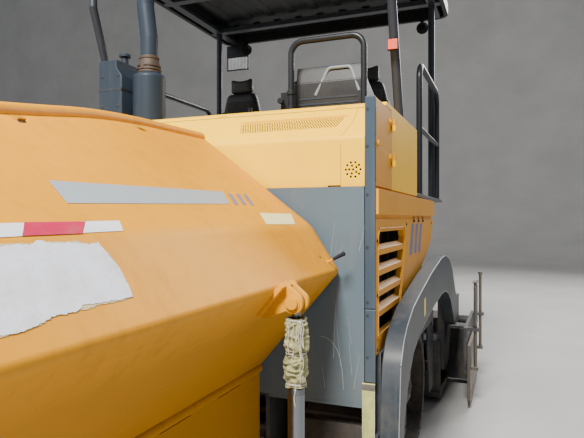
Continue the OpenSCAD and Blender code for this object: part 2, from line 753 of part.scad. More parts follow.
module track_frames() color("#33383E") both_sides() {
    x0 = track_x - 80;
    x1 = track_x + 80;
    box([x0, front_wheel_y + wheel_r + 15, 240], [x1, rear_wheel_y - wheel_r - 15, 600]);
    for (x = [x0 - 15, x1]) {
        box([x, front_wheel_y - 60, 320], [x + 15, rear_wheel_y + 60, 520]);
        box([x, front_wheel_y + 120, 120], [x + 15, rear_wheel_y - 120, 320]);
    }
    for (y = [front_wheel_y, rear_wheel_y]) {
        translate([x0 - 15, y, track_r]) rotate([0, 90, 0]) cylinder(r = 60, h = 190);
    }
    translate([x0 + 10, front_wheel_y, track_r]) rotate([0, 90, 0]) difference() {
        cylinder(r = wheel_r, h = 140, $fn = 96);
        translate([0, 0, -1]) cylinder(r = wheel_r - 50, h = 41);
        translate([0, 0, 101]) cylinder(r = wheel_r - 50, h = 41);
    }
    translate([x0 + 50, rear_wheel_y, track_r]) rotate([0, 90, 0]) difference() {
        cylinder(r = wheel_r, h = 60, $fn = 96);
        for (i = [0 : sprocket_teeth - 1]) rotate(i * 360 / sprocket_teeth)
            translate([wheel_r, 0, -1]) cylinder(r = 42, h = 62);
    }
    for (i = [0 : roller_n - 1]) {
        span = rear_wheel_y - front_wheel_y - 320;
        y = front_wheel_y + 160 + i * span / (roller_n - 1);
        z = pad_h + band_h + roller_r + gap;
        translate([x0 + 10, y, z]) rotate([0, 90, 0]) cylinder(r = roller_r, h = 140);
        translate([x0 - 15, y, z]) rotate([0, 90, 0]) cylinder(r = 22, h = 190);
    }
    for (y = [front_wheel_y + 480, rear_wheel_y - 480]) {
        z = track_h - pad_h - band_h - 50 - gap;
        translate([x0 + 20, y, z]) rotate([0, 90, 0]) cylinder(r = 50, h = 120);
        box([x0 + 10, y - 20, 600], [x0 + 20, y + 20, z + 20]);
        box([x1 - 20, y - 20, 600], [x1 - 10, y + 20, z + 20]);
    }
}

// The two bar chains on the conveyor floor.
module conveyor() color("#53565A") {
    y0 = wall_y - hopper_len + 60;
    y1 = wall_y + tractor_len - 20;
    n = floor((y1 - y0 - 60) / bar_pitch);
    both_sides() {
        for (x = [90, chassis_half - frame_t - 70]) box([x, y0, floor_z], [x + 30, y1, floor_z + 22]);
        for (i = [0 : n]) box([120, y0 + 20 + i * bar_pitch, floor_z],
            [chassis_half - frame_t - 70, y0 + 60 + i * bar_pitch, floor_z + 28]);
    }
    box([-60, y0 - 20, floor_z], [60, wall_y, floor_z + 70]);
}

// The fixed walls below the wing hinges, with their knuckles and pins.
module hopper_sides() color("#E0A63C") both_sides() {
    y0 = wall_y - hopper_len;
    y1 = wall_y - wing_gap;
    step = (y1 - y0) / knuckle_n;
    box([hinge_x - 8, y0, floor_z], [hinge_x + 8, y1, hinge_z - knuckle_r - 3]);
    for (i = [0 : knuckle_n - 1]) {
        a = y0 + i * step;
        translate([hinge_x, a + step / 2 + 1, hinge_z]) rotate([-90, 0, 0])
            cylinder(r = knuckle_r, h = step / 2 - 2);
        box([hinge_x - 8, a + step / 2 + 1, hinge_z - knuckle_r - 3],
            [hinge_x + 8, a + step - 1, hinge_z - knuckle_r + 6]);
    }
    translate([hinge_x, y0, hinge_z]) rotate([-90, 0, 0]) cylinder(r = hinge_pin_r, h = y1 - y0);
}

// The upper wall's own frame: X up its slope from the bend, Z out of its outer face.
module wall_frame() translate([bend[0], 0, bend[1]]) rotate([0, rim_slope, 0]) mirror([1, 0, 0]) children();

// One hopper wing, folded up.
module wing() color("#DDB56A") {
    y0 = wing_y0;
    y1 = wing_y1;
    step = (y1 - y0) / knuckle_n;
    start = knuckle_r + 3;
    c = cos(panel_a);
    s = sin(panel_a);
    low_n = [s, -c];
    mid_n = [bend[1] - crease[1], crease[0] - bend[0]] / norm(bend - crease);
    top_n = [sin(rim_slope), cos(rim_slope)];
    tip = bend + (rim_rear + 80) * [-cos(rim_slope), sin(rim_slope)];
    difference() {
        union() {
            along_y(y0, y1) polygon([[hinge_x + start * c, hinge_z + start * s], crease, bend, tip,
                tip - wing_t * top_n, bend - wing_t * (mid_n + top_n) / (1 + mid_n * top_n),
                crease - wing_t * (low_n + mid_n) / (1 + low_n * mid_n),
                [hinge_x + start * c - wing_t * s, hinge_z + start * s + wing_t * c]]);
            wall_frame() translate([0, 0, -wing_t / 2 - rim_r]) linear_extrude(2 * rim_r)
                polygon(concat([[rim_rear + 60, y1 - 3]],
                    [for (p = rim_pts) [p[0] - rim_r, min(max(p[1], y0 + 3), y1 - 3)]],
                    [[rim_rear + 60, y0 + 3]]));
        }
        wall_frame() {
            translate([0, 0, -60]) linear_extrude(120) polygon(concat([[900, y1 + 10]],
                [for (p = rim_pts) [p[0] + rim_r, p[1]]], [[900, y0 - 10]]));
            for (hole = [[652, wall_y - 604],
                [507, wall_y - 1299]]) translate([hole[0], hole[1] - 20, -50]) {
                cylinder(r = 17, h = 100);
                translate([0, 40, 0]) cylinder(r = 17, h = 100);
                translate([-17, 0, 0]) cube([34, 40, 100]);
            }
        }
    }
    for (i = [0 : knuckle_n - 1]) difference() {
        union() {
            translate([hinge_x, y0 + i * step + 1, hinge_z]) rotate([-90, 0, 0])
                cylinder(r = knuckle_r, h = step / 2 - 2);
            along_y(y0 + i * step + 1, y0 + (i + 0.5) * step - 1) polygon([[hinge_x, hinge_z],
                [hinge_x + start * c + 2, hinge_z + start * s + 2],
                [hinge_x + start * c - wing_t * s + 2, hinge_z + start * s + wing_t * c + 2],
                [hinge_x - wing_t * s, hinge_z + wing_t * c]]);
        }
        translate([hinge_x, y0 + i * step, hinge_z]) rotate([-90, 0, 0])
            cylinder(r = hinge_pin_r + fit, h = step / 2);
    }
    for (y = [y0, y1 - 10]) along_y(y, y + 10) polygon([[hinge_x + start * c, hinge_z + start * s],
        [crease[0] - 10, crease[1]], [bend[0] - 6, bend[1] - 4], [bend[0] - 190, bend[1] + 130],
        [hinge_x + 20, hinge_z + 330]]);
    for (f = [0.25, 0.5]) along_y(y0 + f * (y1 - y0) - 6, y0 + f * (y1 - y0) + 6)
        polygon([[hinge_x + 60 * c - 8 * s, hinge_z + 60 * s + 8 * c], [crease[0] - 12, crease[1] - 6],
            [crease[0] - 2, crease[1] - 24], [hinge_x + 90 * c + 40 * s, hinge_z + 90 * s - 40 * c]]);
    ram_clevis();
    translate([crease[0] - 62, y1 - 70, crease[1] + 92]) rotate([0, 62, 0]) cylinder(r = 7, h = 90);
}

// The two rounded ears, their base on the lower panel and the heads of their pin.
module ram_clevis() {
    y = wall_y - ram_y;
    foot = [ram_reach * cos(panel_a) + hinge_x - 6 * sin(panel_a),
        ram_reach * sin(panel_a) + hinge_z + 6 * cos(panel_a)];
    base = [foot[0] - 110 * cos(panel_a), foot[1] - 110 * sin(panel_a)];
    for (d = [-1, 1]) {
        translate([ram_x, y + d * 28 - 9, ram_z]) rotate([-90, 0, 0]) cylinder(r = 36, h = 18);
        along_y(y + d * 28 - 9, y + d * 28 + 9) polygon([[ram_x + 14, ram_z + 33], [ram_x - 10, ram_z - 34],
            [base[0] + 24, base[1] - 24], base, foot]);
    }
    along_y(y - 70, y + 70) polygon([base, [base[0] + 18 * sin(panel_a), base[1] - 18 * cos(panel_a)],
        [foot[0] + 18 * sin(panel_a), foot[1] - 18 * cos(panel_a)], foot]);
    for (d = [0, 1]) translate([ram_x, y + (d == 0 ? -49 : 36), ram_z]) rotate([-90, 0, 0])
        cylinder(r = 22, h = 13);
}

module ram_barrel() color("#5A6068") {
    y = wall_y - ram_y;
    difference() {
        union() {
            translate([ram_x, y, ram_foot_z]) cylinder(r = ram_barrel_r, h = ram_barrel_len);
            translate([ram_x, y - ram_barrel_r + 4, ram_foot_z]) rotate([-90, 0, 0])
                cylinder(r = ram_barrel_r + 4, h = 2 * ram_barrel_r - 8);
        }
        translate([ram_x, y, ram_foot_z + 50]) cylinder(r = ram_stage_r + fit, h = ram_barrel_len);
        translate([ram_x, y - 60, ram_foot_z]) rotate([-90, 0, 0]) cylinder(r = ram_pin_r + fit, h = 120);
    }
}

module ram_stage() color("#C8CCD0") {
    y = wall_y - ram_y;
    difference() {
        translate([ram_x, y, stage_z - ram_stage_len - 60])
            cylinder(r = ram_stage_r, h = ram_stage_len + 60);
        translate([ram_x, y, stage_z - 280]) cylinder(r = ram_rod_r + fit, h = 300);
    }
}

module ram_rod() color("#D8DCE0") {
    y = wall_y - ram_y;
    difference() {
        union() {
            translate([ram_x, y, stage_z - 80]) cylinder(r = ram_rod_r, h = ram_z - stage_z + 80 - 10);
            translate([ram_x, y - 16, ram_z]) rotate([-90, 0, 0]) cylinder(r = 26, h = 32);
        }
        translate([ram_x, y - 30, ram_z]) rotate([-90, 0, 0]) cylinder(r = ram_pin_r, h = 60);
    }
}

// The laced cloth sleeve round the rod.
module sleeve() color("#B9B58E") {
    y = wall_y - ram_y;
    h = ram_z - stage_z - 56;
    difference() {
        translate([ram_x, y, stage_z + 4]) cylinder(r = sleeve_r, h = h);
        translate([ram_x, y, stage_z]) cylinder(r = ram_rod_r + gap, h = h + 10);
    }
}

module push_beam() color("#E0A63C") {
    y = wall_y - push_y;
    nose_y = y + 200;
    h = push_len + 60;
    difference() {
        union() {
            box([-h, y + 90, push_z - 70], [h, y + 130, push_z + 70]);
            box([-150, y + 130, push_z - 40], [150, nose_y + 60, push_z + 40]);
        }
        translate([0, nose_y, push_z - 60]) cylinder(r = push_pin_r + fit, h = 120);
    }
    for (x = [-h, -30, h - 20])
        box([x, y - 40, push_z - 50], [x + (x == -30 ? 60 : 20), y + 90, push_z + 50]);
    both_sides() translate([30, y, push_z]) rotate([0, 90, 0]) cylinder(r = 20, h = push_len + 20);
}

module push_roller() color("#8A8D90") {
    y = wall_y - push_y;
    difference() {
        translate([40, y, push_z]) rotate([0, 90, 0]) cylinder(r = push_r, h = push_len - 10);
        translate([39, y, push_z]) rotate([0, 90, 0]) cylinder(r = 20 + fit, h = push_len);
    }
}

module apron() color("#E0A63C") {
    y = wall_y - hopper_len - apron_out;
    z = floor_z + 10;
    w = hinge_x - 12;
    difference() {
        union() {
            box([-w, y - 6, z + 6], [w, y + 6, z + apron_h]);
            translate([-w, y, z]) rotate([0, 90, 0]) cylinder(r = 14, h = 2 * w);
        }
        translate([-w - 1, y, z]) rotate([0, 90, 0]) cylinder(r = apron_pin_r + fit, h = 2 * w + 2);
    }
    for (x = [-560, 0, 560]) box([x - 20, y - 18, z + 60], [x + 20, y - 6, z + apron_h - 20]);
}

// A shaft with a continuous helical flight.
module auger() color("#6E6A64") {
    y = wall_y + auger_y;
    x0 = 52 + 12 + gap;
    run = auger_end - x0 - 20;
    turns = run / flight_pitch;
    translate([x0, y, auger_z]) rotate([0, 90, 0]) {
        cylinder(r = auger_shaft_r, h = auger_end - x0);
        translate([0, 0, 10]) linear_extrude(run, twist = 360 * turns, slices = round(turns * 20),
            segments = 4)
            translate([auger_shaft_r - 6, -7]) square([flight_r - auger_shaft_r + 6, 14]);
    }
}

module auger_shields() color("#7A8288") both_sides() {
    y = wall_y + auger_y;
    difference() {
        along_x(auger_end + gap, auger_end + 16) polygon([[y - 130, auger_z - 190], [y + 130, auger_z - 190],
            [y + 150, auger_z + 100], [y + 60, roof_z + 110], [beam_y, roof_z + 110], [beam_y, roof_z]]);
    }
    box([auger_end - 20, beam_y, roof_z], [auger_end + gap, beam_y + 40, roof_z + 110]);
    box([track_x + 30, beam_y, 80], [auger_end - 20, beam_y + 35, roof_z + 80]);
}

module flaps() color("#C9CB8B") both_sides() {
    box([body_half - 60, wall_y - 8, 400], [body_half - 2, wall_y, 905]);
}

module tow_arms() color("#7D93A8") both_sides() difference() {
    along_x(arm_x, arm_x + arm_w) union() {
        translate([wall_y, 0]) polygon(arm_pts);
        translate([wall_y + tow_y, tow_z]) circle(tow_eye_r);
    }
    translate([arm_x - 1, wall_y + tow_y, tow_z]) rotate([0, 90, 0])
        cylinder(r = tow_pin_r + fit, h = arm_w + 2);
}

module screed() color("#22262C") {
    y0 = screed_y;
    y1 = screed_y + screed_depth;
    difference() {
        box([-screed_half, y0, sole_z + 50], [screed_half, y1, screed_top]);
        box([-screed_half - 1, y0 + 20, sole_z + 60], [screed_half + 1, y1 - 20, screed_top - 20]);
    }
    box([-screed_half, y0 - 20, sole_z], [screed_half, y1 - 20, sole_z + 50]);
    both_sides() {
        box([screed_half, y0 + 40, 300], [arm_x, y1 - 60, 940]);
        box([screed_half - 30, y0 + 40, screed_top], [screed_half, y1 - 60, 940]);
        box([lift_x - 60, y0 + 60, screed_top], [lift_x - 42, y0 + 140, lift_eye_z + 45]);
        box([lift_x + 42, y0 + 60, screed_top], [lift_x + 60, y0 + 140, lift_eye_z + 45]);
        translate([lift_x - 68, lift_eye_y, lift_eye_z]) rotate([0, 90, 0]) cylinder(r = 26, h = 8);
        translate([lift_x + 60, lift_eye_y, lift_eye_z]) rotate([0, 90, 0]) cylinder(r = 26, h = 8);
        difference() {
            box([900, y1 - 60, screed_top + slack], [1200, guide_y + 60, guide_z + 60]);
            translate([890, guide_y, guide_z]) rotate([0, 90, 0]) cylinder(r = guide_r + fit, h = 320);
            box([890, y1 - 61, screed_top], [1210, y1 - 59, screed_top + 1]);
        }
        box([900, y1 - 200, screed_top], [1200, y1 - 60, guide_z + 60]);
    }
}

module walkway() color("#3A3F45") {
    y1 = wall_y + walk_rear;
    y0 = ext_y + ext_depth + 15;
    box([-1200, y0, 380], [1200, y1, 410]);
    both_sides() {
        box([1000, guide_y + 60, guide_z - 30], [1040, y0, guide_z + 50]);
        box([1000, y0, 410], [1040, y0 + 25, guide_z + 50]);
    }
}

// The lift cylinder's own frame: origin at the upper pivot, the rod towards +Z.
module lift_frame() {
    dy = lift_eye_y - lift_y;
    dz = lift_eye_z - lift_top_z;
    translate([lift_x, lift_y, lift_top_z]) rotate([atan2(-dy, dz), 0, 0]) children();
}

module lift_barrel() color("#5A6068") lift_frame() difference() {
    union() {
        cylinder(r = lift_barrel_r, h = 560);
        translate([-40, 0, 0]) rotate([0, 90, 0]) cylinder(r = 52, h = 80);
    }
    translate([0, 0, 60]) cylinder(r = lift_rod_r + fit, h = 600);
    translate([-60, 0, 0]) rotate([0, 90, 0]) cylinder(r = 20 + fit, h = 120);
}

module lift_rod() color("#D8DCE0") lift_frame() {
    len = norm([lift_eye_y - lift_y, lift_eye_z - lift_top_z]);
    difference() {
        union() {
            translate([0, 0, 480]) cylinder(r = lift_rod_r, h = len - 500);
            translate([-36, 0, len]) rotate([0, 90, 0]) cylinder(r = 38, h = 72);
        }
        translate([-60, 0, len]) rotate([0, 90, 0]) cylinder(r = 20, h = 120);
    }
}

module extension() color("#22262C") {
    difference() {
        box([20, ext_y, sole_z + 50], [ext_half, ext_y + ext_depth, screed_top]);
        box([19, ext_y + 20, sole_z + 60], [ext_half - 20, ext_y + ext_depth - 20, screed_top - 20]);
    }
    box([20, ext_y, sole_z], [ext_half, ext_y + ext_depth - 30, sole_z + 50]);
    difference() {
        union() {
            box([ext_half, screed_y - 40, 300], [ext_half + 28, ext_y + ext_depth, bracket_z + 30]);
            for (y = [screed_y + 20, ext_y + 220])
                box([ext_half + 28, y - 35, bracket_z], [ext_half + 130, y + 35, bracket_z + 30]);
        }
        for (y = [screed_y + 20, ext_y + 220]) translate([ext_half + 95, y, bracket_z - 1])
            cylinder(r = spindle_r + fit, h = 40);
    }
    translate([100, guide_y, guide_z]) rotate([0, 90, 0]) cylinder(r = guide_r, h = ext_half - 100);
}

module end_plate() color("#8A8578") {
    x = ext_half + 35;
    along_x(x, x + end_t) polygon([[screed_y - 100, end_z + 60], [screed_y - 40, end_z],
        [ext_y + ext_depth + 40, end_z], [ext_y + ext_depth + 40, bracket_z - 110],
        [screed_y - 100, bracket_z - 110]]);
    for (y = [screed_y + 20, ext_y + 220]) {
        box([x + end_t, y - 30, 330], [x + 85, y + 30, 360]);
        translate([ext_half + 95, y, 330]) cylinder(r = spindle_r, h = 760);
        translate([ext_half + 95, y, 1090]) cylinder(r = spindle_r + 8, h = 20);
    }
}

module seat() color("#1E2024") {
    y = wall_y + seat_y;
    z = deck_z + 346 + gap;
    translate([seat_x, y, z]) {
        cylinder(r = 120, h = 40);
        box([-240, -250, 40], [240, 230, 170]);
        box([-230, 170, 170], [230, 290, 700]);
        box([-125, 190, 700], [125, 270, 850]);
        both_sides() box([240, -160, 150], [300, 200, 300]);
    }
}

module console() color("#2A2E34") {
    y = wall_y + rail_y;
    difference() {
        box([300, y - 60, 2170], [850, y + 60, 2290]);
        bar([290, y, 2230], [860, y, 2230], rail_r + gap);
    }
    along_x(300, 850) polygon([[y - 100, 2290], [y + 120, 2290], [y + 230, 2600], [y - 60, 2700],
        [y - 130, 2660]]);
    translate([320, y - 60, 2660]) portal(510, 136, 50, 14);
}
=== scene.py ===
"""A tracked asphalt paver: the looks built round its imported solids."""

import math
import random
from math import cos, pi, radians, sin, tau

import bmesh
import bpy
from mathutils import Matrix, Vector, noise
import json


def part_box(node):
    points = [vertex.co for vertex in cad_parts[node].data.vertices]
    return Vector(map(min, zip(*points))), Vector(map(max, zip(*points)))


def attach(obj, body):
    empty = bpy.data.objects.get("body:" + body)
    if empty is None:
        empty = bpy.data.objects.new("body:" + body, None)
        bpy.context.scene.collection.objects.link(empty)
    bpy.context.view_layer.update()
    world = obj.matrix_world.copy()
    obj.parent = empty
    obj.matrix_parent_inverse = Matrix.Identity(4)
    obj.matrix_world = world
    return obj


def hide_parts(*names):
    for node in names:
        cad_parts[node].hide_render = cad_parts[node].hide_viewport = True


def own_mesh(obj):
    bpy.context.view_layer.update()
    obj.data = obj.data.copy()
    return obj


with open("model.json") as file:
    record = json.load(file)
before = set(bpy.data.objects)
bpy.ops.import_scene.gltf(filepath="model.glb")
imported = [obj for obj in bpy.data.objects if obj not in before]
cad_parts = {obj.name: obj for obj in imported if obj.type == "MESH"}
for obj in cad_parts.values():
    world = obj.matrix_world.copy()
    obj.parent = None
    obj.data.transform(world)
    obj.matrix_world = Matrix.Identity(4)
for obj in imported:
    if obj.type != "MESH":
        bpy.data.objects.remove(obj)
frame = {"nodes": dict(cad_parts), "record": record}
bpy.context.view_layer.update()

# The room: a pale studio floor that curves up into a backdrop, a soft key lamp high in front, a weak
# fill, a rim lamp behind, and the view of a person standing beside the hopper.
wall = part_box("firewall")[0][1]
show = bpy.context.scene.collection.objects.link

camera = bpy.data.objects.new("view_from_hopper", bpy.data.cameras.new("view_from_hopper"))
camera.data.lens = 33.9
camera.data.sensor_width = 36
camera.data.clip_end = 200
eye_height = 1.65
camera.location = (1.814, wall - 2.45, eye_height)
camera.rotation_euler = Vector((-0.368, 0.930, 0.0)).to_track_quat("-Z", "Y").to_euler()
show(camera)
bpy.context.scene.camera = camera
for name, place, aim, width, watts, tint in (
    ("key", (0.8, -9.0, 11.5), (0, 0, 1.2), 3.4, 5400, (1.0, 0.96, 0.9)),
    ("fill", (-9.0, -6.0, 6.0), (0, 0, 1.2), 7.0, 260, (0.86, 0.93, 1.0)),
    ("rim", (4.0, 11.0, 8.0), (0, 1.0, 1.5), 6.0, 1300, (1.0, 0.98, 0.95)),
):
    light = bpy.data.objects.new(name, bpy.data.lights.new(name, "AREA"))
    light.data.size, light.data.energy, light.data.color = width, watts, tint
    light.location = place
    light.rotation_euler = (Vector(aim) - Vector(place)).to_track_quat("-Z", "Y").to_euler()
    show(light)
world = bpy.data.worlds.new("studio")
world.use_nodes = True
world.node_tree.nodes["Background"].inputs["Color"].default_value = (0.80, 0.82, 0.86, 1)
world.node_tree.nodes["Background"].inputs["Strength"].default_value = 0.36
bpy.context.scene.world = world


class Flow:
    """A value in a shader. Arithmetic on it adds Math nodes to the same material."""

    def __init__(self, tree, out=None):
        self.tree, self.out = tree, out

    def node(self, kind, settings=None, sockets=None, output=0):
        made = self.tree.nodes.new("ShaderNode" + kind)
        for key, value in (settings or {}).items():
            if key == "stops":
                ramp = made.color_ramp.elements
                for stop, (at, shade) in zip(ramp, value):
                    stop.position = at
                    stop.color = (shade, shade, shade, 1)
            else:
                setattr(made, key, value)
        for key, value in (sockets or {}).items():
            if isinstance(value, Flow):
                self.tree.links.new(value.out, made.inputs[key])
            else:
                made.inputs[key].default_value = value
        return Flow(self.tree, made.outputs[output])

    def math(self, operation, a, b):
        return self.node("Math", {"operation": operation}, {0: a, 1: b})

    def __add__(self, other):
        return self.math("ADD", self, other)

    def __rsub__(self, other):
        return self.math("SUBTRACT", other, self)

    def __mul__(self, other):
        return self.math("MULTIPLY", self, other)

    __radd__, __rmul__ = __add__, __mul__

    def clamp(self):
        return self.node("Clamp", None, {0: self})

    def ramp(self, *stops):
        return self.node("ValToRGB", {"stops": stops}, {0: self})

    def place(self, scale, turn=(0, 0, 0)):
        return self.node("Mapping", None, {0: self, "Scale": scale, "Rotation": turn, "Location": (0, 0, 0)})

    def noise(self, scale, detail=4.0, rough=0.6):
        return self.node("TexNoise", None, {0: self, "Scale": scale, "Detail": detail, "Roughness": rough})

    def patches(self, scale, low, high, rough=0.7, detail=8):
        """Noise sharpened into patches between two levels."""
        return self.noise(scale, detail, rough).ramp((low, 0.0), (high, 1.0))


def mixed(mask, a, b):
    """One colour or another by a mask."""
    return mask.node("Mix", {"data_type": "RGBA"}, {0: mask, 6: a, 7: b}, output=2)


def finish(name, metallic=0.0, coat=0.0, sheen=0.0):
    """A new material, its surface node and the object's own coordinates."""
    made = bpy.data.materials.new(name)
    made.use_nodes = True
    skin = made.node_tree.nodes["Principled BSDF"]
    skin.inputs["Metallic"].default_value = metallic
    skin.inputs["Coat Weight"].default_value = coat
    skin.inputs["Coat Roughness"].default_value = 0.25
    skin.inputs["Sheen Weight"].default_value = sheen
    where = Flow(made.node_tree).node("TexCoord", output=3)
    return made, skin, where


def feed(made, skin, colour, rough=None, bump=None, strength=0.2, distance=0.002):
    """Joins colour, roughness and relief to the surface."""
    links = made.node_tree.links
    links.new(colour.out, skin.inputs["Base Color"])
    if rough is not None:
        links.new(rough.out, skin.inputs["Roughness"])
    if bump is not None:
        raised = bump.node("Bump", None, {"Height": bump, "Strength": strength, "Distance": distance})
        links.new(raised.out, skin.inputs["Normal"])
    return made


def solid(name, bm, material):
    """Turns a bmesh into a smooth object in the scene."""
    mesh = bpy.data.meshes.new(name)
    bm.to_mesh(mesh)
    bm.free()
    mesh.materials.append(material)
    mesh.shade_smooth()
    made = bpy.data.objects.new(name, mesh)
    show(made)
    return made


floor_mat, skin, where = finish("pale_floor")
tones = (0.36, 0.36, 0.355, 1), (0.42, 0.42, 0.415, 1)
feed(floor_mat, skin, mixed(where.patches(0.6, 0.35, 0.7, 0.6, 5), *tones))
skin.inputs["Roughness"].default_value = 0.75
bm = bmesh.new()
cove, cove_y, half_width = 8, 18, 40
line = [(cove_y + cove * sin(a * pi / 16), cove - cove * cos(a * pi / 16)) for a in range(9)]
edge = [bm.verts.new((-half_width, y, z)) for y, z in [(-30, 0)] + line + [(26, 30)]]
for a, b in zip(edge, edge[1:]):
    bm.edges.new((a, b))
swept = bmesh.ops.extrude_edge_only(bm, edges=bm.edges[:])["geom"]
swept = [g for g in swept if isinstance(g, bmesh.types.BMVert)]
bmesh.ops.translate(bm, vec=(2 * half_width, 0, 0), verts=swept)
bmesh.ops.recalc_face_normals(bm, faces=bm.faces)
solid("studio_floor", bm, floor_mat)


# The hopper wings: 12 mm steel plate with a sharp lower crease, a soft upper bend and a rolled rim
# that bows down towards the front, sprayed ochre yellow, with end plates, hinge knuckles and the
# clevis of the wing cylinder welded on. They carry a grey band, stripes and worn tape.
def hex_colour(text, shade=1.0):
    """A linear colour from its written sRGB value, darker or lighter by a factor."""
    channels = [int(text[i : i + 2], 16) / 255 for i in (0, 2, 4)]
    linear = [c / 12.92 if c <= 0.04045 else ((c + 0.055) / 1.055) ** 2.4 for c in channels]
    return (*(min(c * shade, 1) for c in linear), 1.0)


def paint(name, tone, dust="8E8270", grime=0.35, rough=0.48, coat=0.04, foot=1.0):
    """Sprayed enamel with a patchy tone, dust that lies in runs and below, and fine scratches. A foot above one
    deepens the darkening towards the bottom into painted shade.
    """
    made, skin, where = finish(name, coat=coat)
    skin.inputs["Specular IOR Level"].default_value = 0.2
    patch = where.patches(1.7, 0.3, 0.75, 0.65, 6)
    body = mixed(patch, hex_colour(tone, 0.9), hex_colour(tone, 1.06))
    runs = where.place((9, 9, 0.7)).patches(1.6, 0.5, 0.78, 0.7, 6)
    height = where.node("SeparateXYZ", None, {0: where}, output=2)
    # Darker towards the bottom: dust there, and with a foot above one also painted shade under the parts.
    fall_dirt_and_shade = (1.15 * foot - height * 0.8 * foot).clamp()
    low = fall_dirt_and_shade * where.patches(3.1, 0.35 / foot, 0.7 / foot, 0.7, 6) * foot
    scratch = where.place((1.4, 0.8, 34), (0.5, 0.2, 0.1)).patches(3.0, 0.66, 0.7, 0.5, 3)
    speck = where.patches(55, 0.69, 0.73, 0.8, 3)
    dirt = (runs * 0.55 + low).clamp() * grime
    colour = mixed(dirt, body, hex_colour(dust))
    colour = mixed(scratch * 0.16, colour, hex_colour(tone, 1.3))
    colour = mixed(speck * (grime * 0.8), colour, hex_colour(dust, 0.5))
    return feed(made, skin, colour, rough + dirt * 0.5 + patch * 0.05, where.noise(160, 2), 0.04, 0.001)


def foil(name, tone, dust="9A917E", amount=0.4, rough=0.45):
    """Printed foil, faded and dusty."""
    made, skin, where = finish(name)
    mask = where.patches(14, 0.45, 0.75, 0.75) * amount
    return feed(made, skin, mixed(mask, hex_colour(tone), hex_colour(dust)), rough + mask * 0.4)


def facet(bm, points):
    """One flat face through points."""
    return bm.faces.new([bm.verts.new(p) for p in points])


def outlined(bm, points):
    """Edges round a closed loop of points or vertices."""
    verts = [p if isinstance(p, bmesh.types.BMVert) else bm.verts.new(p) for p in points]
    return [bm.edges.get((a, b)) or bm.edges.new((a, b)) for a, b in zip(verts, verts[1:] + verts[:1])]


def fill(bm, edges):
    """A flat sheet between outlines, with holes where they lie inside one another."""
    bmesh.ops.triangle_fill(bm, use_beauty=True, use_dissolve=False, edges=edges)


def mirrored(points, mirror):
    """Points with their first number turned to the left or right side."""
    return [(mirror * p[0], *p[1:]) for p in points]


def slab(bm, outline, near, far, axis="x"):
    """A flat outline pushed from near to far along an axis."""
    spots = {"x": lambda a, b: (near, a, b), "y": lambda a, b: (a, near, b)}
    face = facet(bm, [spots[axis](a, b) for a, b in outline])
    grown = bmesh.ops.extrude_face_region(bm, geom=[face])["geom"]
    push = {"x": (far - near, 0, 0), "y": (0, far - near, 0)}[axis]
    bmesh.ops.translate(bm, vec=push, verts=[g for g in grown if isinstance(g, bmesh.types.BMVert)])


def rod(bm, start, end, radius, sides=32, radius_end=None):
    """A round bar between two points."""
    start, end = Vector(start), Vector(end)
    turned = (end - start).to_track_quat("Z", "Y").to_matrix().to_4x4()
    bmesh.ops.create_cone(bm, cap_ends=True, segments=sides, radius1=radius,
                          radius2=radius if radius_end is None else radius_end, depth=(end - start).length,
                          matrix=Matrix.Translation((start + end) / 2) @ turned)


def soften(piece, width, angle):
    """Bevels the edges that are sharper than an angle."""
    edge = piece.modifiers.new("edges", "BEVEL")
    edge.width = width
    edge.segments = 2
    edge.limit_method = "ANGLE"
    edge.angle_limit = radians(angle)
    edge.harden_normals = True


def settle(name, bm, material, body="tractor", replaced=(), bevel=0, smooth=35, thick=0):
    """Turns a bmesh into a finished piece that rides on its body."""
    if not thick:
        bmesh.ops.recalc_face_normals(bm, faces=bm.faces)
    piece = solid(name, bm, material)
    piece.data.set_sharp_from_angle(angle=radians(smooth))
    if thick:
        plate = piece.modifiers.new("plate", "SOLIDIFY")
        plate.thickness, plate.offset = thick, -1
    if bevel:
        soften(piece, bevel, 40)
    elif smooth < 45:
        piece.modifiers.new("normals", "WEIGHTED_NORMAL").keep_sharp = True
    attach(piece, body)
    if replaced:
        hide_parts(*replaced)
    return piece


def rounded(points, radii, steps=8):
    """A 2D path whose inner corners are turned into arcs."""
    path = [points[0]]
    for before, corner, after, radius in zip(points, points[1:], points[2:], radii):
        p, c, n = Vector(before), Vector(corner), Vector(after)
        u, v = (p - c).normalized(), (n - c).normalized()
        half = u.angle(v) / 2
        reach = radius / math.tan(half)
        middle = c + (u + v).normalized() * radius / sin(half)
        a, b = c + u * reach - middle, c + v * reach - middle
        turn = a.angle_signed(b)
        for i in range(steps + 1):
            spun = a.copy()
            spun.rotate(Matrix.Rotation(-turn * i / steps, 2))
            path.append(tuple(middle + spun))
    return path + [points[-1]]


def tube(bm, path, radius, sides=20):
    """A round tube along a 3D path, with closed ends. The radius may be one per point."""
    path = [Vector(p) for p in path]
    radii = radius if isinstance(radius, list) else [radius] * len(path)
    ahead = [(b - a).normalized() for a, b in zip(path, path[1:])]
    ahead = [ahead[0]] + [(a + b).normalized() for a, b in zip(ahead, ahead[1:])] + [ahead[-1]]
    side = ahead[0].orthogonal().normalized()
    rings = []
    for spot, way, r in zip(path, ahead, radii):
        side = (side - way * side.dot(way)).normalized()
        up = way.cross(side)
        rings.append([bm.verts.new(spot + (side * cos(a) + up * sin(a)) * r)
                      for a in (tau * k / sides for k in range(sides))])
    for one, two in zip(rings, rings[1:]):
        for k in range(sides):
            bm.faces.new((one[k], one[k - 1], two[k - 1], two[k]))
    bm.faces.new(rings[0])
    bm.faces.new(rings[-1][::-1])


def bridge(bm, rows, closed=False):
    """Quads between neighbouring rows of vertices, which may be closed loops."""
    for one, two in zip(rows, rows[1:]):
        for k in range(0 if closed else 1, len(one)):
            bm.faces.new((one[k - 1], one[k], two[k], two[k - 1]))


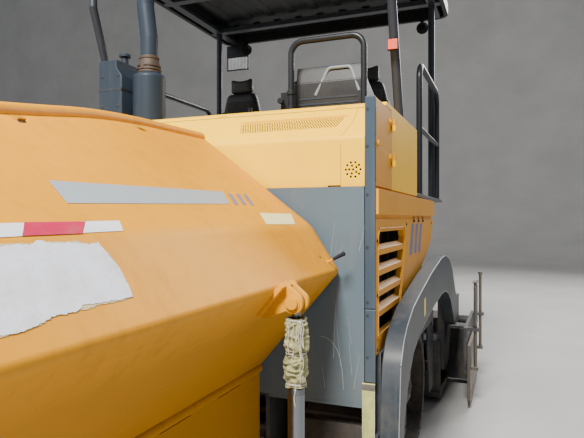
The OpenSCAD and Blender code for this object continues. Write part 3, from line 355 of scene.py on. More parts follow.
sides = (("left", 1), ("right", -1))
# The wing ochre's dark brown dust and foot of 2.6 paint shade over its lower parts: the wing underside, the
# hopper walls and the push beam.
ochre_shaded_low = paint("wing_ochre", "DE9708", grime=0.36, dust="5C3F1E", foot=2.6)
hinge, crease, bend = Vector((0.68, 0.93)), Vector((1.09, 1.41)), Vector((0.954, 1.62))
front_y, rear_y = wall - 2.08, wall - 0.03
low_way, mid_way = (crease - hinge).normalized(), (bend - crease).normalized()
top_way = Vector((-cos(radians(37.1)), sin(radians(37.1))))
low_out, mid_out, top_out = (Vector((w[1], -w[0])) for w in (low_way, mid_way, top_way))
bend_radius, bend_angle = 0.16, 19.96
bend_reach = bend_radius * math.tan(radians(bend_angle / 2))


def rim_at(y):
    """Width of the upper wall at a place along the wing, eased at the corners of its plan."""
    plan = [(-2.2, 0.329), (-1.1985, 0.588), (-0.9115, 0.6705), (-0.604, 0.717), (0.1, 0.747)]
    plan = [(wall + behind, width) for behind, width in plan]
    total = 0
    for k in range(-4, 5):
        at = min(max(y + k * 0.03, plan[0][0]), plan[-1][0])
        for (y0, s0), (y1, s1) in zip(plan, plan[1:]):
            if y0 <= at <= y1:
                total += s0 + (s1 - s0) * (at - y0) / (y1 - y0)
                break
    return total / 9


def on_wing(y, s, lift=0.0, mirror=1):
    """A point on the wing's outer face, s metres up from the bend line."""
    if abs(s) >= bend_reach:
        way, out = (top_way, top_out) if s > 0 else (mid_way, mid_out)
        spot = bend + way * s + out * lift
    else:
        share = (s + bend_reach) / (2 * bend_reach)
        middle = bend - mid_way * bend_reach - mid_out * bend_radius
        out = Vector((mid_out[0], mid_out[1]))
        out.rotate(Matrix.Rotation(radians(bend_angle) * share, 2))
        spot = middle + out * (bend_radius + lift)
    return Vector((mirror * spot[0], y, spot[1]))


plate = 0.012
rows = [front_y + (rear_y - front_y) * i / 60 for i in range(61)]
slots = [(wall - 0.604, 0.652, 0.034, 0.014, 0.0), (wall - 1.299, 0.507, 0.030, 0.013, 0.6)]
for side, mirror in sides:
    bm = bmesh.new()
    section = [tuple(p) for p in (hinge + low_way * 0.027, crease, bend, bend + top_way * 0.2)]
    section = rounded(section, [0.028, bend_radius])[:-1]
    grid = [[bm.verts.new((mirror * x, y, z)) for x, z in section] for y in rows]
    bridge(bm, grid)
    rim_row = [bm.verts.new(on_wing(y, rim_at(y), 0, mirror)) for y in rows]
    edges = outlined(bm, [row[-1] for row in grid] + rim_row[::-1])
    for y, s, length, half, turn in slots:
        lens = [(length * cos(a), half * sin(a) * (1 - 0.55 * abs(cos(a)) ** 3))
                for a in (tau * k / 16 for k in range(16))]
        lens = [(y + u * cos(turn) - v * sin(turn), s + u * sin(turn) + v * cos(turn)) for u, v in lens]
        edges += outlined(bm, [on_wing(*spot, 0, mirror) for spot in lens])
    fill(bm, edges)
    bmesh.ops.recalc_face_normals(bm, faces=bm.faces)
    if sum(f.normal.x * f.calc_area() for f in bm.faces) * mirror < 0:
        bmesh.ops.reverse_faces(bm, faces=bm.faces)
    settle("wing_shell_" + side, bm, ochre_shaded_low, "wing_" + side, thick=plate, smooth=25)

    bm = bmesh.new()
    tube(bm, [on_wing(y, rim_at(y), -0.006, mirror) for y in rows], 0.0255, 24)
    span = (rear_y - front_y) / 5
    leaf = hinge + low_way * 0.032
    joint = [hinge, leaf, leaf - low_out * plate, hinge - low_out * plate]
    hinge_x = mirror * hinge[0]
    for i in range(5):
        y = front_y + i * span
        rod(bm, (hinge_x, y + 0.001, hinge[1]), (hinge_x, y + span / 2 - 0.001, hinge[1]), 0.024, 28)
        slab(bm, mirrored(joint, mirror), y + 0.002, y + span / 2 - 0.002, "y")
    end = [hinge + low_way * 0.03 - low_out * 0.004, crease - low_out * plate, bend - mid_out * 0.008,
           bend + top_way * 0.2 - top_out * 0.006, bend + top_way * 0.21 - top_out * 0.05,
           hinge + Vector((0.02, 0.33))]
    for y in (front_y, rear_y - 0.01):
        slab(bm, mirrored(end, mirror), y + 0.0005, y + 0.0095, "y")
    foot = hinge + low_way * 0.629
    pin = foot + low_out * 0.064
    base = foot - low_way * 0.11
    ram_y = wall - 0.7
    ear = [pin + (low_way * cos(a) + low_out * sin(a)) * 0.036 for a in (pi * k / 14 for k in range(15))]
    ear += [base + low_out * 0.026, base - low_out * 0.006, foot + low_way * 0.036 - low_out * 0.006]
    for lean in (-1, 1):
        y = ram_y + lean * 0.028
        slab(bm, mirrored(ear, mirror), y - 0.009, y + 0.009, "y")
        for near, far, radius in ((0.036, 0.040, 0.028), (0.040, 0.049, 0.021)):
            near, far = ram_y + lean * near, ram_y + lean * far
            rod(bm, (mirror * pin[0], near, pin[1]), (mirror * pin[0], far, pin[1]), radius)
    tip = foot + low_way * 0.03
    seat = [base - low_out * 0.006, tip - low_out * 0.006, tip + low_out * plate, base + low_out * plate]
    slab(bm, mirrored(seat, mirror), ram_y - 0.068, ram_y + 0.068, "y")
    wing = "wing_" + side
    settle("wing_fittings_" + side, bm, ochre_shaded_low, wing, [wing], 0.0025, smooth=30)


def film(name, grid, material, body):
    """A thin sheet of tape or foil stuck on a panel, from rows of points."""
    bm = bmesh.new()
    bridge(bm, [[bm.verts.new(p) for p in row] for row in grid])
    settle(name, bm, material, body)


def sticker(name, corners, material, side, lift=0.0012, across=2, along=10):
    """Tape on the wing between four corners given as (distance behind the wall, height up the wing)."""
    (ya, sa), (yb, sb), (yc, sc), (yd, sd) = corners
    grid = []
    for t in (i / along for i in range(along + 1)):
        top, low = (ya + (yb - ya) * t, sa + (sb - sa) * t), (yd + (yc - yd) * t, sd + (sc - sd) * t)
        row = [(low[0] + (top[0] - low[0]) * j / across, low[1] + (top[1] - low[1]) * j / across)
               for j in range(across + 1)]
        grid.append([on_wing(wall + y, s, lift, 1 if side == "left" else -1) for y, s in row])
    film(name, grid, material, "wing_" + side)


band_grey = foil("band_grey", "98A2A9")
stripe_blue = foil("stripe_blue", "5C6390", amount=0.5)
tape_white = foil("tape_white", "DCE0EA", amount=0.25)
tape_red = foil("tape_red", "B80F47", amount=0.25)
label_foil = foil("label_foil", "EAE6A8", amount=0.25)
paper = foil("paper_white", "DDE2EE", "AFA58C", 0.55, 0.8)
for side, mirror in sides:
    band = [(-1.448, 0.201), (-0.553, 0.226), (-0.629, 0.142), (-1.464, 0.109)]
    sticker("band_" + side, band, band_grey, side)
    for k in range(3):
        corners = ((-0.532, 0.213, 0.004), (-0.502, 0.214, 0.004), (-0.556, 0.139, 0.002),
                   (-0.586, 0.138, 0.002))
        corners = [(y + k * 0.072, s + k * rise) for y, s, rise in corners]
        sticker(f"stripe_{side}_{k}", corners, stripe_blue, side)
    for name, material, lift, across, corners in (
        ("label_", label_foil, 0.0012, 6, [(-0.455, 0.089), (-0.113, 0.088), (-0.216, 0.011), (-0.515, 0.015)]),
        ("tape_", tape_white, 0.0012, 4, [(-1.95, 0.03), (-1.349, 0.042), (-1.37, 0.004), (-1.97, -0.008)]),
        ("tape_mark_", tape_red, 0.0018, 4,
         [(-1.637, 0.0375), (-1.468, 0.0385), (-1.509, -0.001), (-1.669, -0.002)]),
    ):
        sticker(name + side, corners, material, side, lift, across)


def ragged(outline, step, wobble, seed):
    """An outline torn by hand: many small steps off its straight lines."""
    dice = random.Random(seed)
    path = []
    for (xa, ya), (xb, yb) in zip(outline, outline[1:] + outline[:1]):
        count = max(2, int(math.dist((xa, ya), (xb, yb)) / step))
        path += [(xa + (xb - xa) * k / count + dice.uniform(-wobble, wobble),
                  ya + (yb - ya) * k / count + dice.uniform(-wobble, wobble)) for k in range(count)]
    return path


torn = [(-1.728, -0.024), (-1.635, -0.017), (-1.48, -0.03), (-1.455, -0.091), (-1.456, -0.163),
        (-1.503, -0.173), (-1.603, -0.168), (-1.693, -0.173), (-1.744, -0.187), (-1.806, -0.192), (-1.9, -0.2),
        (-1.96, -0.16), (-1.93, -0.1), (-1.965, -0.05), (-1.85, -0.035)]
glue = foil("dried_glue", "C9B78E", "A08A5C", 0.6, 0.85)
grip_rubber = paint("grip_rubber", "22242A", dust="6F675B", grime=0.3, rough=0.6, coat=0)
for side, mirror in sides:
    for name, grow, lift, seed, material in (("paper_", 1.0, 0.0018, 3, paper),
                                             ("paper_glue_", 1.025, 0.001, 8, glue)):
        outline = [(-1.7 + (y + 1.7) * grow, -0.11 + (s + 0.11) * grow) for y, s in torn]
        outline = ragged(ragged(outline, 0.03, 0.0055, seed), 0.005, 0.0016, seed + 1)
        bm = bmesh.new()
        fill(bm, outlined(bm, [on_wing(wall + y, s, lift, mirror) for y, s in outline]))
        settle(name + side, bm, material, "wing_" + side)
    bm = bmesh.new()
    start = Vector((mirror * 1.058, wall - 0.10, 1.458))
    way = Vector((mirror * sin(radians(62)), 0, cos(radians(62))))
    rod(bm, start - way * 0.01, start + way * 0.03, 0.005, 20)
    rod(bm, start - way * 0.004, start + way * 0.003, 0.013, 24)
    settle("latch_stem_" + side, bm, ochre_shaded_low, "wing_" + side, bevel=0.0008)
    bm = bmesh.new()
    tube(bm, [start + way * (0.026 + k * 0.002) for k in range(32)],
         [0.0055 if k in (0, 31) else 0.0068 + k * 0.00012 + 0.0006 * cos(k * pi / 2) for k in range(32)])
    settle("latch_grip_" + side, bm, grip_rubber, "wing_" + side)
    # A dark sheet over the small drain hole by the latch: painted shade of the opening.
    film("drain_" + side, [[on_wing(wall + y, s, 0.0008, mirror) for y in line]
                           for s, line in ((-0.168, (-0.176, -0.158)), (-0.152, (-0.168, -0.166)))],
         grip_rubber, "wing_" + side)


# The wing cylinders: an enamelled barrel with a gland nut, a plated stage and rod, and over the joint
# of the two a tube of canvas tied with light cord, crumpled, stained and gathered where it is tied.
def steel(name, tone, rough=0.4, rust=0.3, metallic=0.85):
    """Bare worn steel with rust in patches."""
    made, skin, where = finish(name, metallic=metallic)
    spots = where.patches(9, 0.5, 0.68) * rust
    grain = where.place((40, 3, 40)).noise(2, 4)
    colour = mixed(spots, mixed(grain, hex_colour(tone, 0.8), hex_colour(tone)), hex_colour("6B3E22"))
    made.node_tree.links.new(((1 - spots) * metallic).out, skin.inputs["Metallic"])
    return feed(made, skin, colour, rough + spots * 0.5 + grain * 0.12, where.noise(60, 5), 0.12, 0.002)


def cloth(name, tone, stain, amount, threads=900):
    """Coarse woven canvas, stained and greasy."""
    made, skin, where = finish(name, sheen=0.2)
    mask = where.patches(22, 0.4, 0.72) * amount
    weave = where.place((threads, threads, threads)).noise(1, 2) + where.noise(120, 4) * 0.7
    colour = mixed(mask, hex_colour(tone), hex_colour(stain))
    return feed(made, skin, colour, 0.85 + mask * 0.1, weave, 0.35, 0.001)


def circle(x, y, radius, count, turn=0.0):
    """Points round a circle."""
    return [(x + radius * cos(a), y + radius * sin(a))
            for a in (turn + tau * k / count for k in range(count))]


def block(bm, one, two):
    """A box between two corners."""
    low, high = [min(pair) for pair in zip(one, two)], [max(pair) for pair in zip(one, two)]
    verts = bmesh.ops.create_cube(bm, size=1)["verts"]
    bmesh.ops.scale(bm, vec=[h - l for l, h in zip(low, high)], verts=verts)
    bmesh.ops.translate(bm, vec=[(l + h) / 2 for l, h in zip(low, high)], verts=verts)


def loft(bm, loops, closed=False):
    """Skins together loops with equal numbers of points, and caps the ends or joins them."""
    made = [[bm.verts.new(p) for p in loop] for loop in loops]
    bridge(bm, made + made[:1] if closed else made, True)
    if not closed:
        bm.faces.new(made[0][::-1])
        bm.faces.new(made[-1])


def turned(bm, x, y, profile, count, closed=False):
    """A profile of radius and height turned about an upright axis."""
    loft(bm, [[(*p, z) for p in circle(x, y, r, count)] for r, z in profile], closed)


def merged(node, cut=None):
    """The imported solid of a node, merged from its loose triangles and cut off at a plane if asked."""
    bm = bmesh.new()
    bm.from_mesh(frame["nodes"][node].data)
    bmesh.ops.remove_doubles(bm, verts=bm.verts, dist=0.00002)
    if cut:
        bmesh.ops.bisect_plane(bm, geom=bm.verts[:] + bm.edges[:] + bm.faces[:], plane_co=cut[0],
                               plane_no=cut[1], clear_outer=True)
    bmesh.ops.dissolve_limit(bm, angle_limit=radians(0.5), verts=bm.verts, edges=bm.edges)
    return bm


body_of_node = {n: b for b, nodes in frame["record"]["behaviour"]["bodies"].items() for n in nodes}


def dress(node, material, bevel):
    """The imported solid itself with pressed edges."""
    piece = solid(node + "_skin", merged(node), material)
    piece.data.set_sharp_from_angle(angle=radians(35))
    soften(piece, bevel, 38)
    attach(piece, body_of_node[node])
    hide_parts(node)


dark = paint("dark_enamel", "2C323B", dust="6F675B", grime=0.35, rough=0.5)
chrome = steel("chromed", "83888D", 0.24, 0.08, 1.0)
canvas = cloth("sleeve_canvas", "9C9869", "4E4C32", 0.9)
cord_white = cloth("tie_cord", "B9B6A4", "8F8C78", 0.4, 2500)
low, high, ties = 1.081, 1.3145, (1.09, 1.193, 1.306)
for side, mirror in sides:
    stage = "ram_stage_" + side
    dress("ram_barrel_" + side, dark, 0.003)
    dress(stage, chrome, 0.002)
    dress("ram_rod_" + side, chrome, 0.002)
    x, y = mirror * 1.1372, ram_y
    for name, body, z0, z1, near, far in (
        ("ram_gland_", "ram_barrel_", 0.712, 0.743, 0.0305, 0.0412),
        ("ram_collar_", "ram_stage_", 1.054, 1.0755, 0.0272, 0.0290),
    ):
        bm = bmesh.new()
        turned(bm, x, y, [(near, z0), (near, z1), (far - 0.001, z1), (far, z1 - 0.0015), (far, z0)], 48, True)
        settle(name + side, bm, dark, body + side)

    bm = bmesh.new()
    rings = []
    for z in (low + (high - low) * i / 96 for i in range(97)):
        pinch = max(math.exp(-((z - tie) / 0.011) ** 2) for tie in ties)
        ring = []
        for a in (tau * k / 72 for k in range(72)):
            spot = Vector((cos(a), sin(a), z * 16))
            crumple = noise.noise(spot * 1.6 + Vector((mirror * 7, 0, 0))) * 0.013
            crumple -= abs(noise.noise(Vector((spot[0] * 1.5, spot[1] * 1.5, z * 62 + 3)))) * 0.02 - 0.0045
            gather = cos(9 * a + 2 * noise.noise(Vector((0, 0, z * 9)))) * 0.0016 * (0.5 + pinch)
            r = 0.0388 - 0.0062 * pinch + (crumple * (1 - 0.75 * pinch)) + gather
            r = min(max(r, 0.0305), 0.0455)
            ring.append(bm.verts.new((x + r * cos(a), y + r * sin(a), z)))
        rings.append(ring)
    bridge(bm, rings, True)
    hem = [[bm.verts.new((*p, z)) for p in circle(x, y, 0.0302, 72)] for z in (low + 0.001, high - 0.001)]
    for inner, outer in zip(hem, (rings[0], rings[-1])):
        bridge(bm, [inner, outer], True)
    sock = settle("sleeve_cloth_" + side, bm, canvas, stage, ["sleeve_" + side], 0, smooth=80)

    bm = bmesh.new()
    for tie in ties:
        for turn in range(2):
            tube(bm, [(x + 0.0345 * cos(a), y + 0.0345 * sin(a), tie + turn * 0.0028 + 0.001 * sin(3 * a))
                      for a in (tau * k / 40 for k in range(41))], 0.0014, 8)
    knot = Vector((x + mirror * 0.026, y - 0.033, ties[2]))
    block(bm, knot - Vector((0.006, 0.004, 0.004)), knot + Vector((0.006, 0.003, 0.004)))
    wraps = settle("sleeve_ties_" + side, bm, cord_white, stage, smooth=80)
    pieces, runs = [sock, wraps], []
    for n, (sway, drop) in enumerate(((0.016, 0.085), (-0.007, 0.055), (0.009, 0.12))):
        arches = [(k, sin(pi * k / 24)) for k in range(25)]
        runs.append([knot + Vector((mirror * (sway * arch + 0.005 * (k / 12 - 1)),
                                    -0.006 - 0.003 * n - 0.003 * arch, -drop * arch)) for k, arch in arches])
    runs.append([knot + Vector((mirror * (0.008 + 0.006 * sin(k * 0.45)), -0.003, -0.0078 * k))
                 for k in range(27)])
    for aside, start, count in ((-0.012, ties[2], 18), (0.004, ties[2], 20), (0.012, ties[0] + 0.004, 12)):
        runs.append([Vector((x + mirror * aside + 0.003 * sin(k * 0.5 + aside * 90), y - 0.0436,
                             start - 0.0062 * k)) for k in range(count)])
    for n, run in enumerate(runs):
        bm = bmesh.new()
        tube(bm, run, 0.0013, 8)
        strand = settle(f"sleeve_cord_{side}_{n}", bm, cord_white, stage, smooth=80)
        "object" if n < 3 else "bare"
        pieces.append(strand)
    for piece in pieces:
        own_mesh(piece)


# The hood: pressed 3 mm steel in light yellow enamel, its front rolled back into a slope with a sunk,
# slot-punched air grille, and a round horn grille drilled near each corner. The narrow corner pieces
# behind the grey posts close it, and hinged doors fill their sides.
hood_yellow = paint("hood_yellow", "FFC400", grime=0.2, dust="A8926A")
slot_shade = paint("slot_shade", "3A2A0C", grime=0.2, rough=0.7, coat=0)
# Black for black parts, and also painted shade inside holes and openings.
black_and_painted_shade = paint("black_and_inside_shade", "0C0D10", grime=0.1, rough=0.8, coat=0)
lip_z, fold_z, top_z, slope, hood_end = 1.80, 2.03, 2.23, 0.23, wall + 1.2
edge_x, horn_x, horn_z = 1.2, 1.146, 1.877
profile = [(wall, lip_z), (wall, fold_z), (wall + slope, top_z), (hood_end, top_z), (hood_end, lip_z)]
profile = rounded(profile, [0.035, 0.06, 0.02])
held = [profile[0]]
for a, b in zip(profile, profile[1:]):
    span = math.dist(a, b)
    if span > 0.05:  # rows that hold the shading beside each bend
        steps = ([] if a == profile[0] else [0.004 / span]) + [1 - 0.004 / span]
        held += [(a[0] + (b[0] - a[0]) * s, a[1] + (b[1] - a[1]) * s) for s in steps]
    held.append(b)
profile = held
bm = bmesh.new()
rows = [[bm.verts.new((x, y, z)) for y, z in profile] for x in (-edge_x, edge_x)]
edges = outlined(bm, [rows[0][0], rows[0][1], rows[1][1], rows[1][0]])
for mirror in (1, -1):
    for count, reach, turn in ((1, 0.0, 0.0), (5, 0.0185, 0.6), (10, 0.0345, 0.0)):
        for hole in mirrored(circle(horn_x, horn_z, reach, count, turn), mirror):
            edges += outlined(bm, [(x, wall, z) for x, z in circle(*hole, 0.0056, 10)])
fill(bm, edges)
slope_row = next(k for k in range(1, len(profile) - 1) if profile[k + 1][0] - profile[k][0] > 0.08)


def bolt(bm, place, axis, radius=0.011, height=0.008):
    """A hexagon head on its washer."""
    place, axis = Vector(place), Vector(axis).normalized()
    rod(bm, place - axis * 0.002, place + axis * 0.002, radius * 1.5, 20)
    rod(bm, place, place + axis * height, radius, 6)


def on_slope(x, t, lift=0.0):
    """A point on the sloped face, t from its foot to its top."""
    out = Vector((0, -(top_z - fold_z), slope)).normalized()
    return Vector((x, wall + slope * t, fold_z + (top_z - fold_z) * t)) + out * lift


grille = [(0.495, 0.646), (1.098, 0.637), (1.065, 0.296), (0.534, 0.278)]
for k in range(1, len(profile) - 1):
    ring = [rows[0][k], rows[0][k + 1], rows[1][k + 1], rows[1][k]]
    if k != slope_row:
        bm.faces.new(ring)
        continue
    mouth = [bm.verts.new(on_slope(x, t)) for x, t in grille]
    fill(bm, outlined(bm, ring) + outlined(bm, mouth))
    mx, mt = sum(x for x, t in grille) / 4, sum(t for x, t in grille) / 4
    sunk = [bm.verts.new(on_slope(mx + (x - mx) * (0.9 if x > 1 else 0.975), mt + (t - mt) * 0.9, -0.01))
            for x, t in grille]
    for a, b, c, d in zip(mouth, mouth[1:] + mouth[:1], sunk[1:] + sunk[:1], sunk):
        bm.faces.new((a, b, c, d))
    bm.faces.new(sunk)
bmesh.ops.recalc_face_normals(bm, faces=bm.faces)
if sum(f.normal.z * f.calc_area() for f in bm.faces) < 0:
    bmesh.ops.reverse_faces(bm, faces=bm.faces)
settle("hood_shell", bm, hood_yellow, "tractor", ["hood"], 0, thick=0.003, smooth=28)

bm = bmesh.new()
for t in (0.335 + row * 0.044 for row in range(7)):
    left = 0.495 + (0.534 - 0.495) * (0.646 - t) / 0.368 + 0.014
    right = 1.098 - (1.098 - 1.065) * (0.637 - t) / 0.341 - 0.038
    count = int((right - left) / 0.0135)
    for x in (left + (right - left) * k / count for k in range(count + 1)):
        slot = ((0.0001, -0.016), (0.0069, -0.016), (-0.0001, 0.016), (-0.0069, 0.016))
        facet(bm, [on_slope(x + a, t + b, -0.0093) for a, b in slot])
settle("hood_slots", bm, slot_shade)
bm = bmesh.new()
ink, seam_x = wall - 0.0003, 1.0865
for mirror in (1, -1):
    for x, wide in ((1.024, 0.062), (-0.1, 0.3)):
        gap = ((0, 0), (wide, 0), (wide, 0.006), (0, 0.006))
        facet(bm, [(mirror * (x + a), ink, lip_z + 0.0005 + b) for a, b in gap])
    seam = ((0, lip_z), (0.0016, lip_z), (0.0016, fold_z - 0.035), (0, fold_z - 0.035))
    facet(bm, [(mirror * (seam_x + a), ink, z) for a, z in seam])
    for seam in (((seam_x, 0.02), (1.0881, 0.02), (1.1216, 0.4), (1.12, 0.4)),
                 ((1.12, 0.4), (1.1216, 0.4), (1.1216, 0.86), (1.12, 0.86))):
        facet(bm, [on_slope(mirror * x, t, 0.0004) for x, t in seam])
    # A black disc behind each horn grille: painted shade seen through its holes.
    facet(bm, [(x, wall + 0.009, z) for x, z in circle(mirror * horn_x, horn_z, 0.043, 32)])
settle("hood_seams", bm, black_and_painted_shade)
bm = bmesh.new()
lid = [(0.845, 0.0002), (0.848, 0.0026), (0.93, 0.0026), (0.935, 0.0002)]
lid = [on_slope(0, t, lift) for t, lift in lid]
slab(bm, [(spot[1], spot[2]) for spot in lid], -1.19, 1.19)
settle("hood_lid", bm, hood_yellow, bevel=0.0008)
bm = bmesh.new()
facet(bm, [on_slope(x, t, 0.0003) for x, t in ((-1.19, 0.838), (1.19, 0.838), (1.19, 0.846), (-1.19, 0.846))])
for x in (0.33, 1.0, -0.33, -1.0):
    gap = ((x, 0.868), (x + math.copysign(0.055, x), 0.868), (x + math.copysign(0.055, x), 0.88), (x, 0.88))
    facet(bm, [on_slope(a, t, 0.0029) for a, t in gap])
settle("hood_lid_gaps", bm, slot_shade)

side_yellow = paint("side_yellow", "D8941C", grime=0.3, dust="9A845C")
for side, mirror in sides:
    corner = merged("hood", ((mirror * edge_x, 0, 0), (-mirror, 0, 0)))
    settle("hood_corner_" + side, corner, hood_yellow)
for side, mirror in sides:
    dress("door_" + side, side_yellow, 0.004)
    bm = bmesh.new()
    for z in (1.95, 2.13):
        block(bm, (mirror * 1.2505, wall + 0.3, z + 0.003), (mirror * 1.2535, wall + 0.345, z + 0.027))
        for y in (0.313, 0.333):
            bolt(bm, (mirror * 1.2545, wall + y, z + 0.015), (mirror, 0, 0), 0.0045, 0.003)
    settle("door_hinges_" + side, bm, hood_yellow, "door_" + side, bevel=0.0008)


# The firewall and side panels: slate enamel plate scratched and dirty at its foot, with a darker
# corner post bolted down each edge, then yellow panels with a deep louvre of sloping blades, a glossy
# rolled lip above, spring clips under it and three painted bars behind.
def arcs(points, radius, steps=6):
    """A 3D path with its inner corners rounded."""
    path = [Vector(points[0])]
    for before, corner, after in zip(points, points[1:], points[2:]):
        corner = Vector(corner)
        u, v = (Vector(before) - corner).normalized(), (Vector(after) - corner).normalized()
        reach = radius / math.tan(u.angle(v) / 2)
        a, b = corner + u * reach, corner + v * reach
        middle = corner + (u + v).normalized() * radius / sin(u.angle(v) / 2)
        spin = (a - middle).rotation_difference(b - middle)
        for i in range(steps + 1):
            path.append(middle + Matrix.Rotation(spin.angle * i / steps, 3, spin.axis) @ (a - middle))
    return path + [Vector(points[-1])]


plate_grey = paint("plate_grey", "55656F", dust="7D7463", grime=0.5, rough=0.45, coat=0.15)
post_grey = paint("post_grey", "3A4956", dust="7D7463", grime=0.35, rough=0.4, coat=0.25)
lip_glossy = paint("lip_yellow", "EDB43C", dust="9A845C", grime=0.15, rough=0.22, coat=0.7)
scratch_pale = foil("bare_scratch", "AEB6BA", "7D7463", 0.3, 0.5)
side_x = 1.25
bm = bmesh.new()
for x0, x1, z0, z1 in ((-1.198, 1.198, 0.8, 1.8), (-1.198, -0.72, 0.785, 0.8005),
                       (1.198, 0.72, 0.785, 0.8005)):
    slab(bm, [(x0, z0), (x1, z0), (x1, z1), (x0, z1)], wall + 0.0004, wall + 0.012, "y")
settle("firewall_plate", bm, plate_grey, "tractor", ["firewall"], 0.002)
for side, mirror in sides:
    bm = bmesh.new()
    for z0, z1 in ((0.905, 1.2385), (1.2405, 2.21)):
        block(bm, (mirror * 1.2, wall, z0), (mirror * side_x, wall + 0.012, z1))
    settle("corner_post_" + side, bm, post_grey, bevel=0.0045)
    bm = bmesh.new()
    for z in (1.02, 1.21, 1.27, 1.52, 1.76, 1.98, 2.15):
        bolt(bm, (mirror * 1.213, wall + 0.0005, z), (0, -1, 0), 0.0045, 0.0004)
    for z in (1.35, 1.58):
        block(bm, (mirror * 1.1985, wall + 0.0002, z), (mirror * 1.2005, wall + 0.01, z + 0.02))
    settle("corner_bolts_" + side, bm, dark)
    bm = bmesh.new()
    dice = random.Random(5 if mirror > 0 else 9)
    for k in range(13):
        x, z, long = 0.78 + dice.random() * 0.4, 0.85 + dice.random() * 0.75, 0.05 + dice.random() * 0.22
        lean, wide = dice.uniform(-0.03, 0.03), dice.uniform(0.0006, 0.0014)
        line = ((x, z), (x + wide, z), (x + wide * 0.4 + lean, z + long), (x + lean, z + long))
        facet(bm, [(mirror * a, wall + 0.0001, b) for a, b in line])
    curve = [(0.985 + 0.11 * t + 0.03 * sin(t * 3), 1.10 - 0.24 * t * t) for t in (k / 16 for k in range(17))]
    for (xa, za), (xb, zb) in zip(curve, curve[1:]):
        line = ((xa, za), (xb, zb), (xb + 0.0016, zb + 0.0008), (xa + 0.0016, za + 0.0008))
        facet(bm, [(mirror * a, wall + 0.0001, b) for a, b in line])
    settle("scratches_" + side, bm, scratch_pale)

dress("side_panels", side_yellow, 0.0035)
for side, mirror in sides:
    bm = bmesh.new()
    lip_middle = 1.73
    section = [(1.2505, 1.673), (1.2618, 1.673), (1.2618, 1.7875), (1.2505, 1.7875)]
    section = rounded(section, [0.0095, 0.0095], 6)
    rows = []
    for t in (k / 24 for k in range(25)):
        shrink = 1 - 0.45 * max(0, (t - 0.6) / 0.4) ** 2
        y = wall + 0.0125 + 1.926 * t
        rows.append([bm.verts.new((mirror * x, y, lip_middle + (z - lip_middle) * shrink)) for x, z in section])
    bridge(bm, rows)
    bm.faces.new(rows[0])
    bm.faces.new(rows[-1][::-1])
    settle("lip_band_" + side, bm, lip_glossy, smooth=60)

    bm = bmesh.new()
    for y in (wall + 1.04, wall + 1.23, wall + 1.42):
        block(bm, (mirror * side_x, y + 0.008, 1.628), (mirror * 1.2545, y + 0.032, 1.668))
        block(bm, (mirror * side_x, y + 0.013, 1.632), (mirror * 1.259, y + 0.027, 1.646))
        bolt(bm, (mirror * 1.2545, y + 0.02, 1.658), (mirror, 0, 0), 0.004, 0.003)
    for y, z in ((0.035, 1.05), (0.035, 1.3), (0.035, 1.55), (0.5, 1.045), (0.8, 1.62), (1.9, 1.62)):
        bolt(bm, (mirror * 1.2505, wall + y, z), (mirror, 0, 0), 0.006, 0.004)
    settle("panel_clips_" + side, bm, dark, bevel=0.0008)
    for k in range(3):
        y = wall + 0.99 + k * 0.17
        bar = [[(mirror * 1.2506, y + a, z), (mirror * 1.2506, y + b, z)]
               for a, b, z in ((0, 0.1, 1.62), (-0.09, 0.01, 1.43))]
        film(f"side_bar_{side}_{k}", bar, stripe_blue, "tractor")
    bm = bmesh.new()
    line = [(0.05, 1.096), (0.525, 1.096), (0.605, 1.197), (0.755, 1.552), (0.718, 1.605), (0.085, 1.605),
            (0.05, 1.573)]
    tube(bm, arcs([(mirror * 1.2512, wall + y, z) for y, z in line + line[:2]], 0.02, 4)[1:-1], 0.0042, 10)
    settle("louvre_frame_" + side, bm, side_yellow)


# The exhaust: a box-shaped air cleaner with a notched corner, a cylindrical heat-shielded silencer with
# a rolled rim, and the tail pipe that leaves it through a rusty clamped cone, in blue-grey enamel.
def upright(bm, x, y, low, high, radius, sides=32, radius_end=None):
    """A round bar that stands between two heights."""
    rod(bm, (x, y, low), (x, y, high), radius, sides, radius_end)


heat_dark = paint("heat_enamel", "26313E", dust="5E5548", grime=0.4, rough=0.5)
burnt = steel("burnt_steel", "4E443C", 0.6, 0.75, 0.4)
stack_x, stack_y, cleaner_z = -0.45, wall + 0.65, 2.2305
pipe_x = stack_x - 0.03
bm = bmesh.new()
case = [(-0.748, cleaner_z), (-0.562, cleaner_z), (-0.562, 2.6), (-0.6, 2.655), (-0.6, 2.708), (-0.748, 2.708)]
slab(bm, case, wall + 0.502, wall + 0.898, "y")
settle("air_cleaner", bm, heat_dark, "tractor", ["exhaust"], 0.012)
bm = bmesh.new()
for z in (2.32, 2.5):
    block(bm, (-0.7495, wall + 0.5008, z), (-0.5605, wall + 0.899, z + 0.018))
upright(bm, -0.69, wall + 0.7, 2.705, 2.78, 0.026)
upright(bm, -0.69, wall + 0.7, 2.78, 2.80, 0.04)
for z in (2.4, 2.6):
    for x in (-0.72, -0.59):
        bolt(bm, (x, wall + 0.501, z), (0, -1, 0), 0.008, 0.004)
settle("air_cleaner_straps", bm, dark, bevel=0.002)
bm = bmesh.new()
turned(bm, stack_x, stack_y, rounded([(0.1075, cleaner_z), (0.1075, 2.61), (0.072, 2.633)], [0.03], 6), 64)
settle("silencer", bm, heat_dark, smooth=40)
bm = bmesh.new()
pipe = [(x, stack_y, z) for x, z in ((stack_x, 2.62), (stack_x, 2.87), (pipe_x, 3.09), (pipe_x, 3.848))]
tube(bm, arcs(pipe, 0.12, 8), 0.0568, 40)
settle("tail_pipe", bm, heat_dark, smooth=50)
bm = bmesh.new()
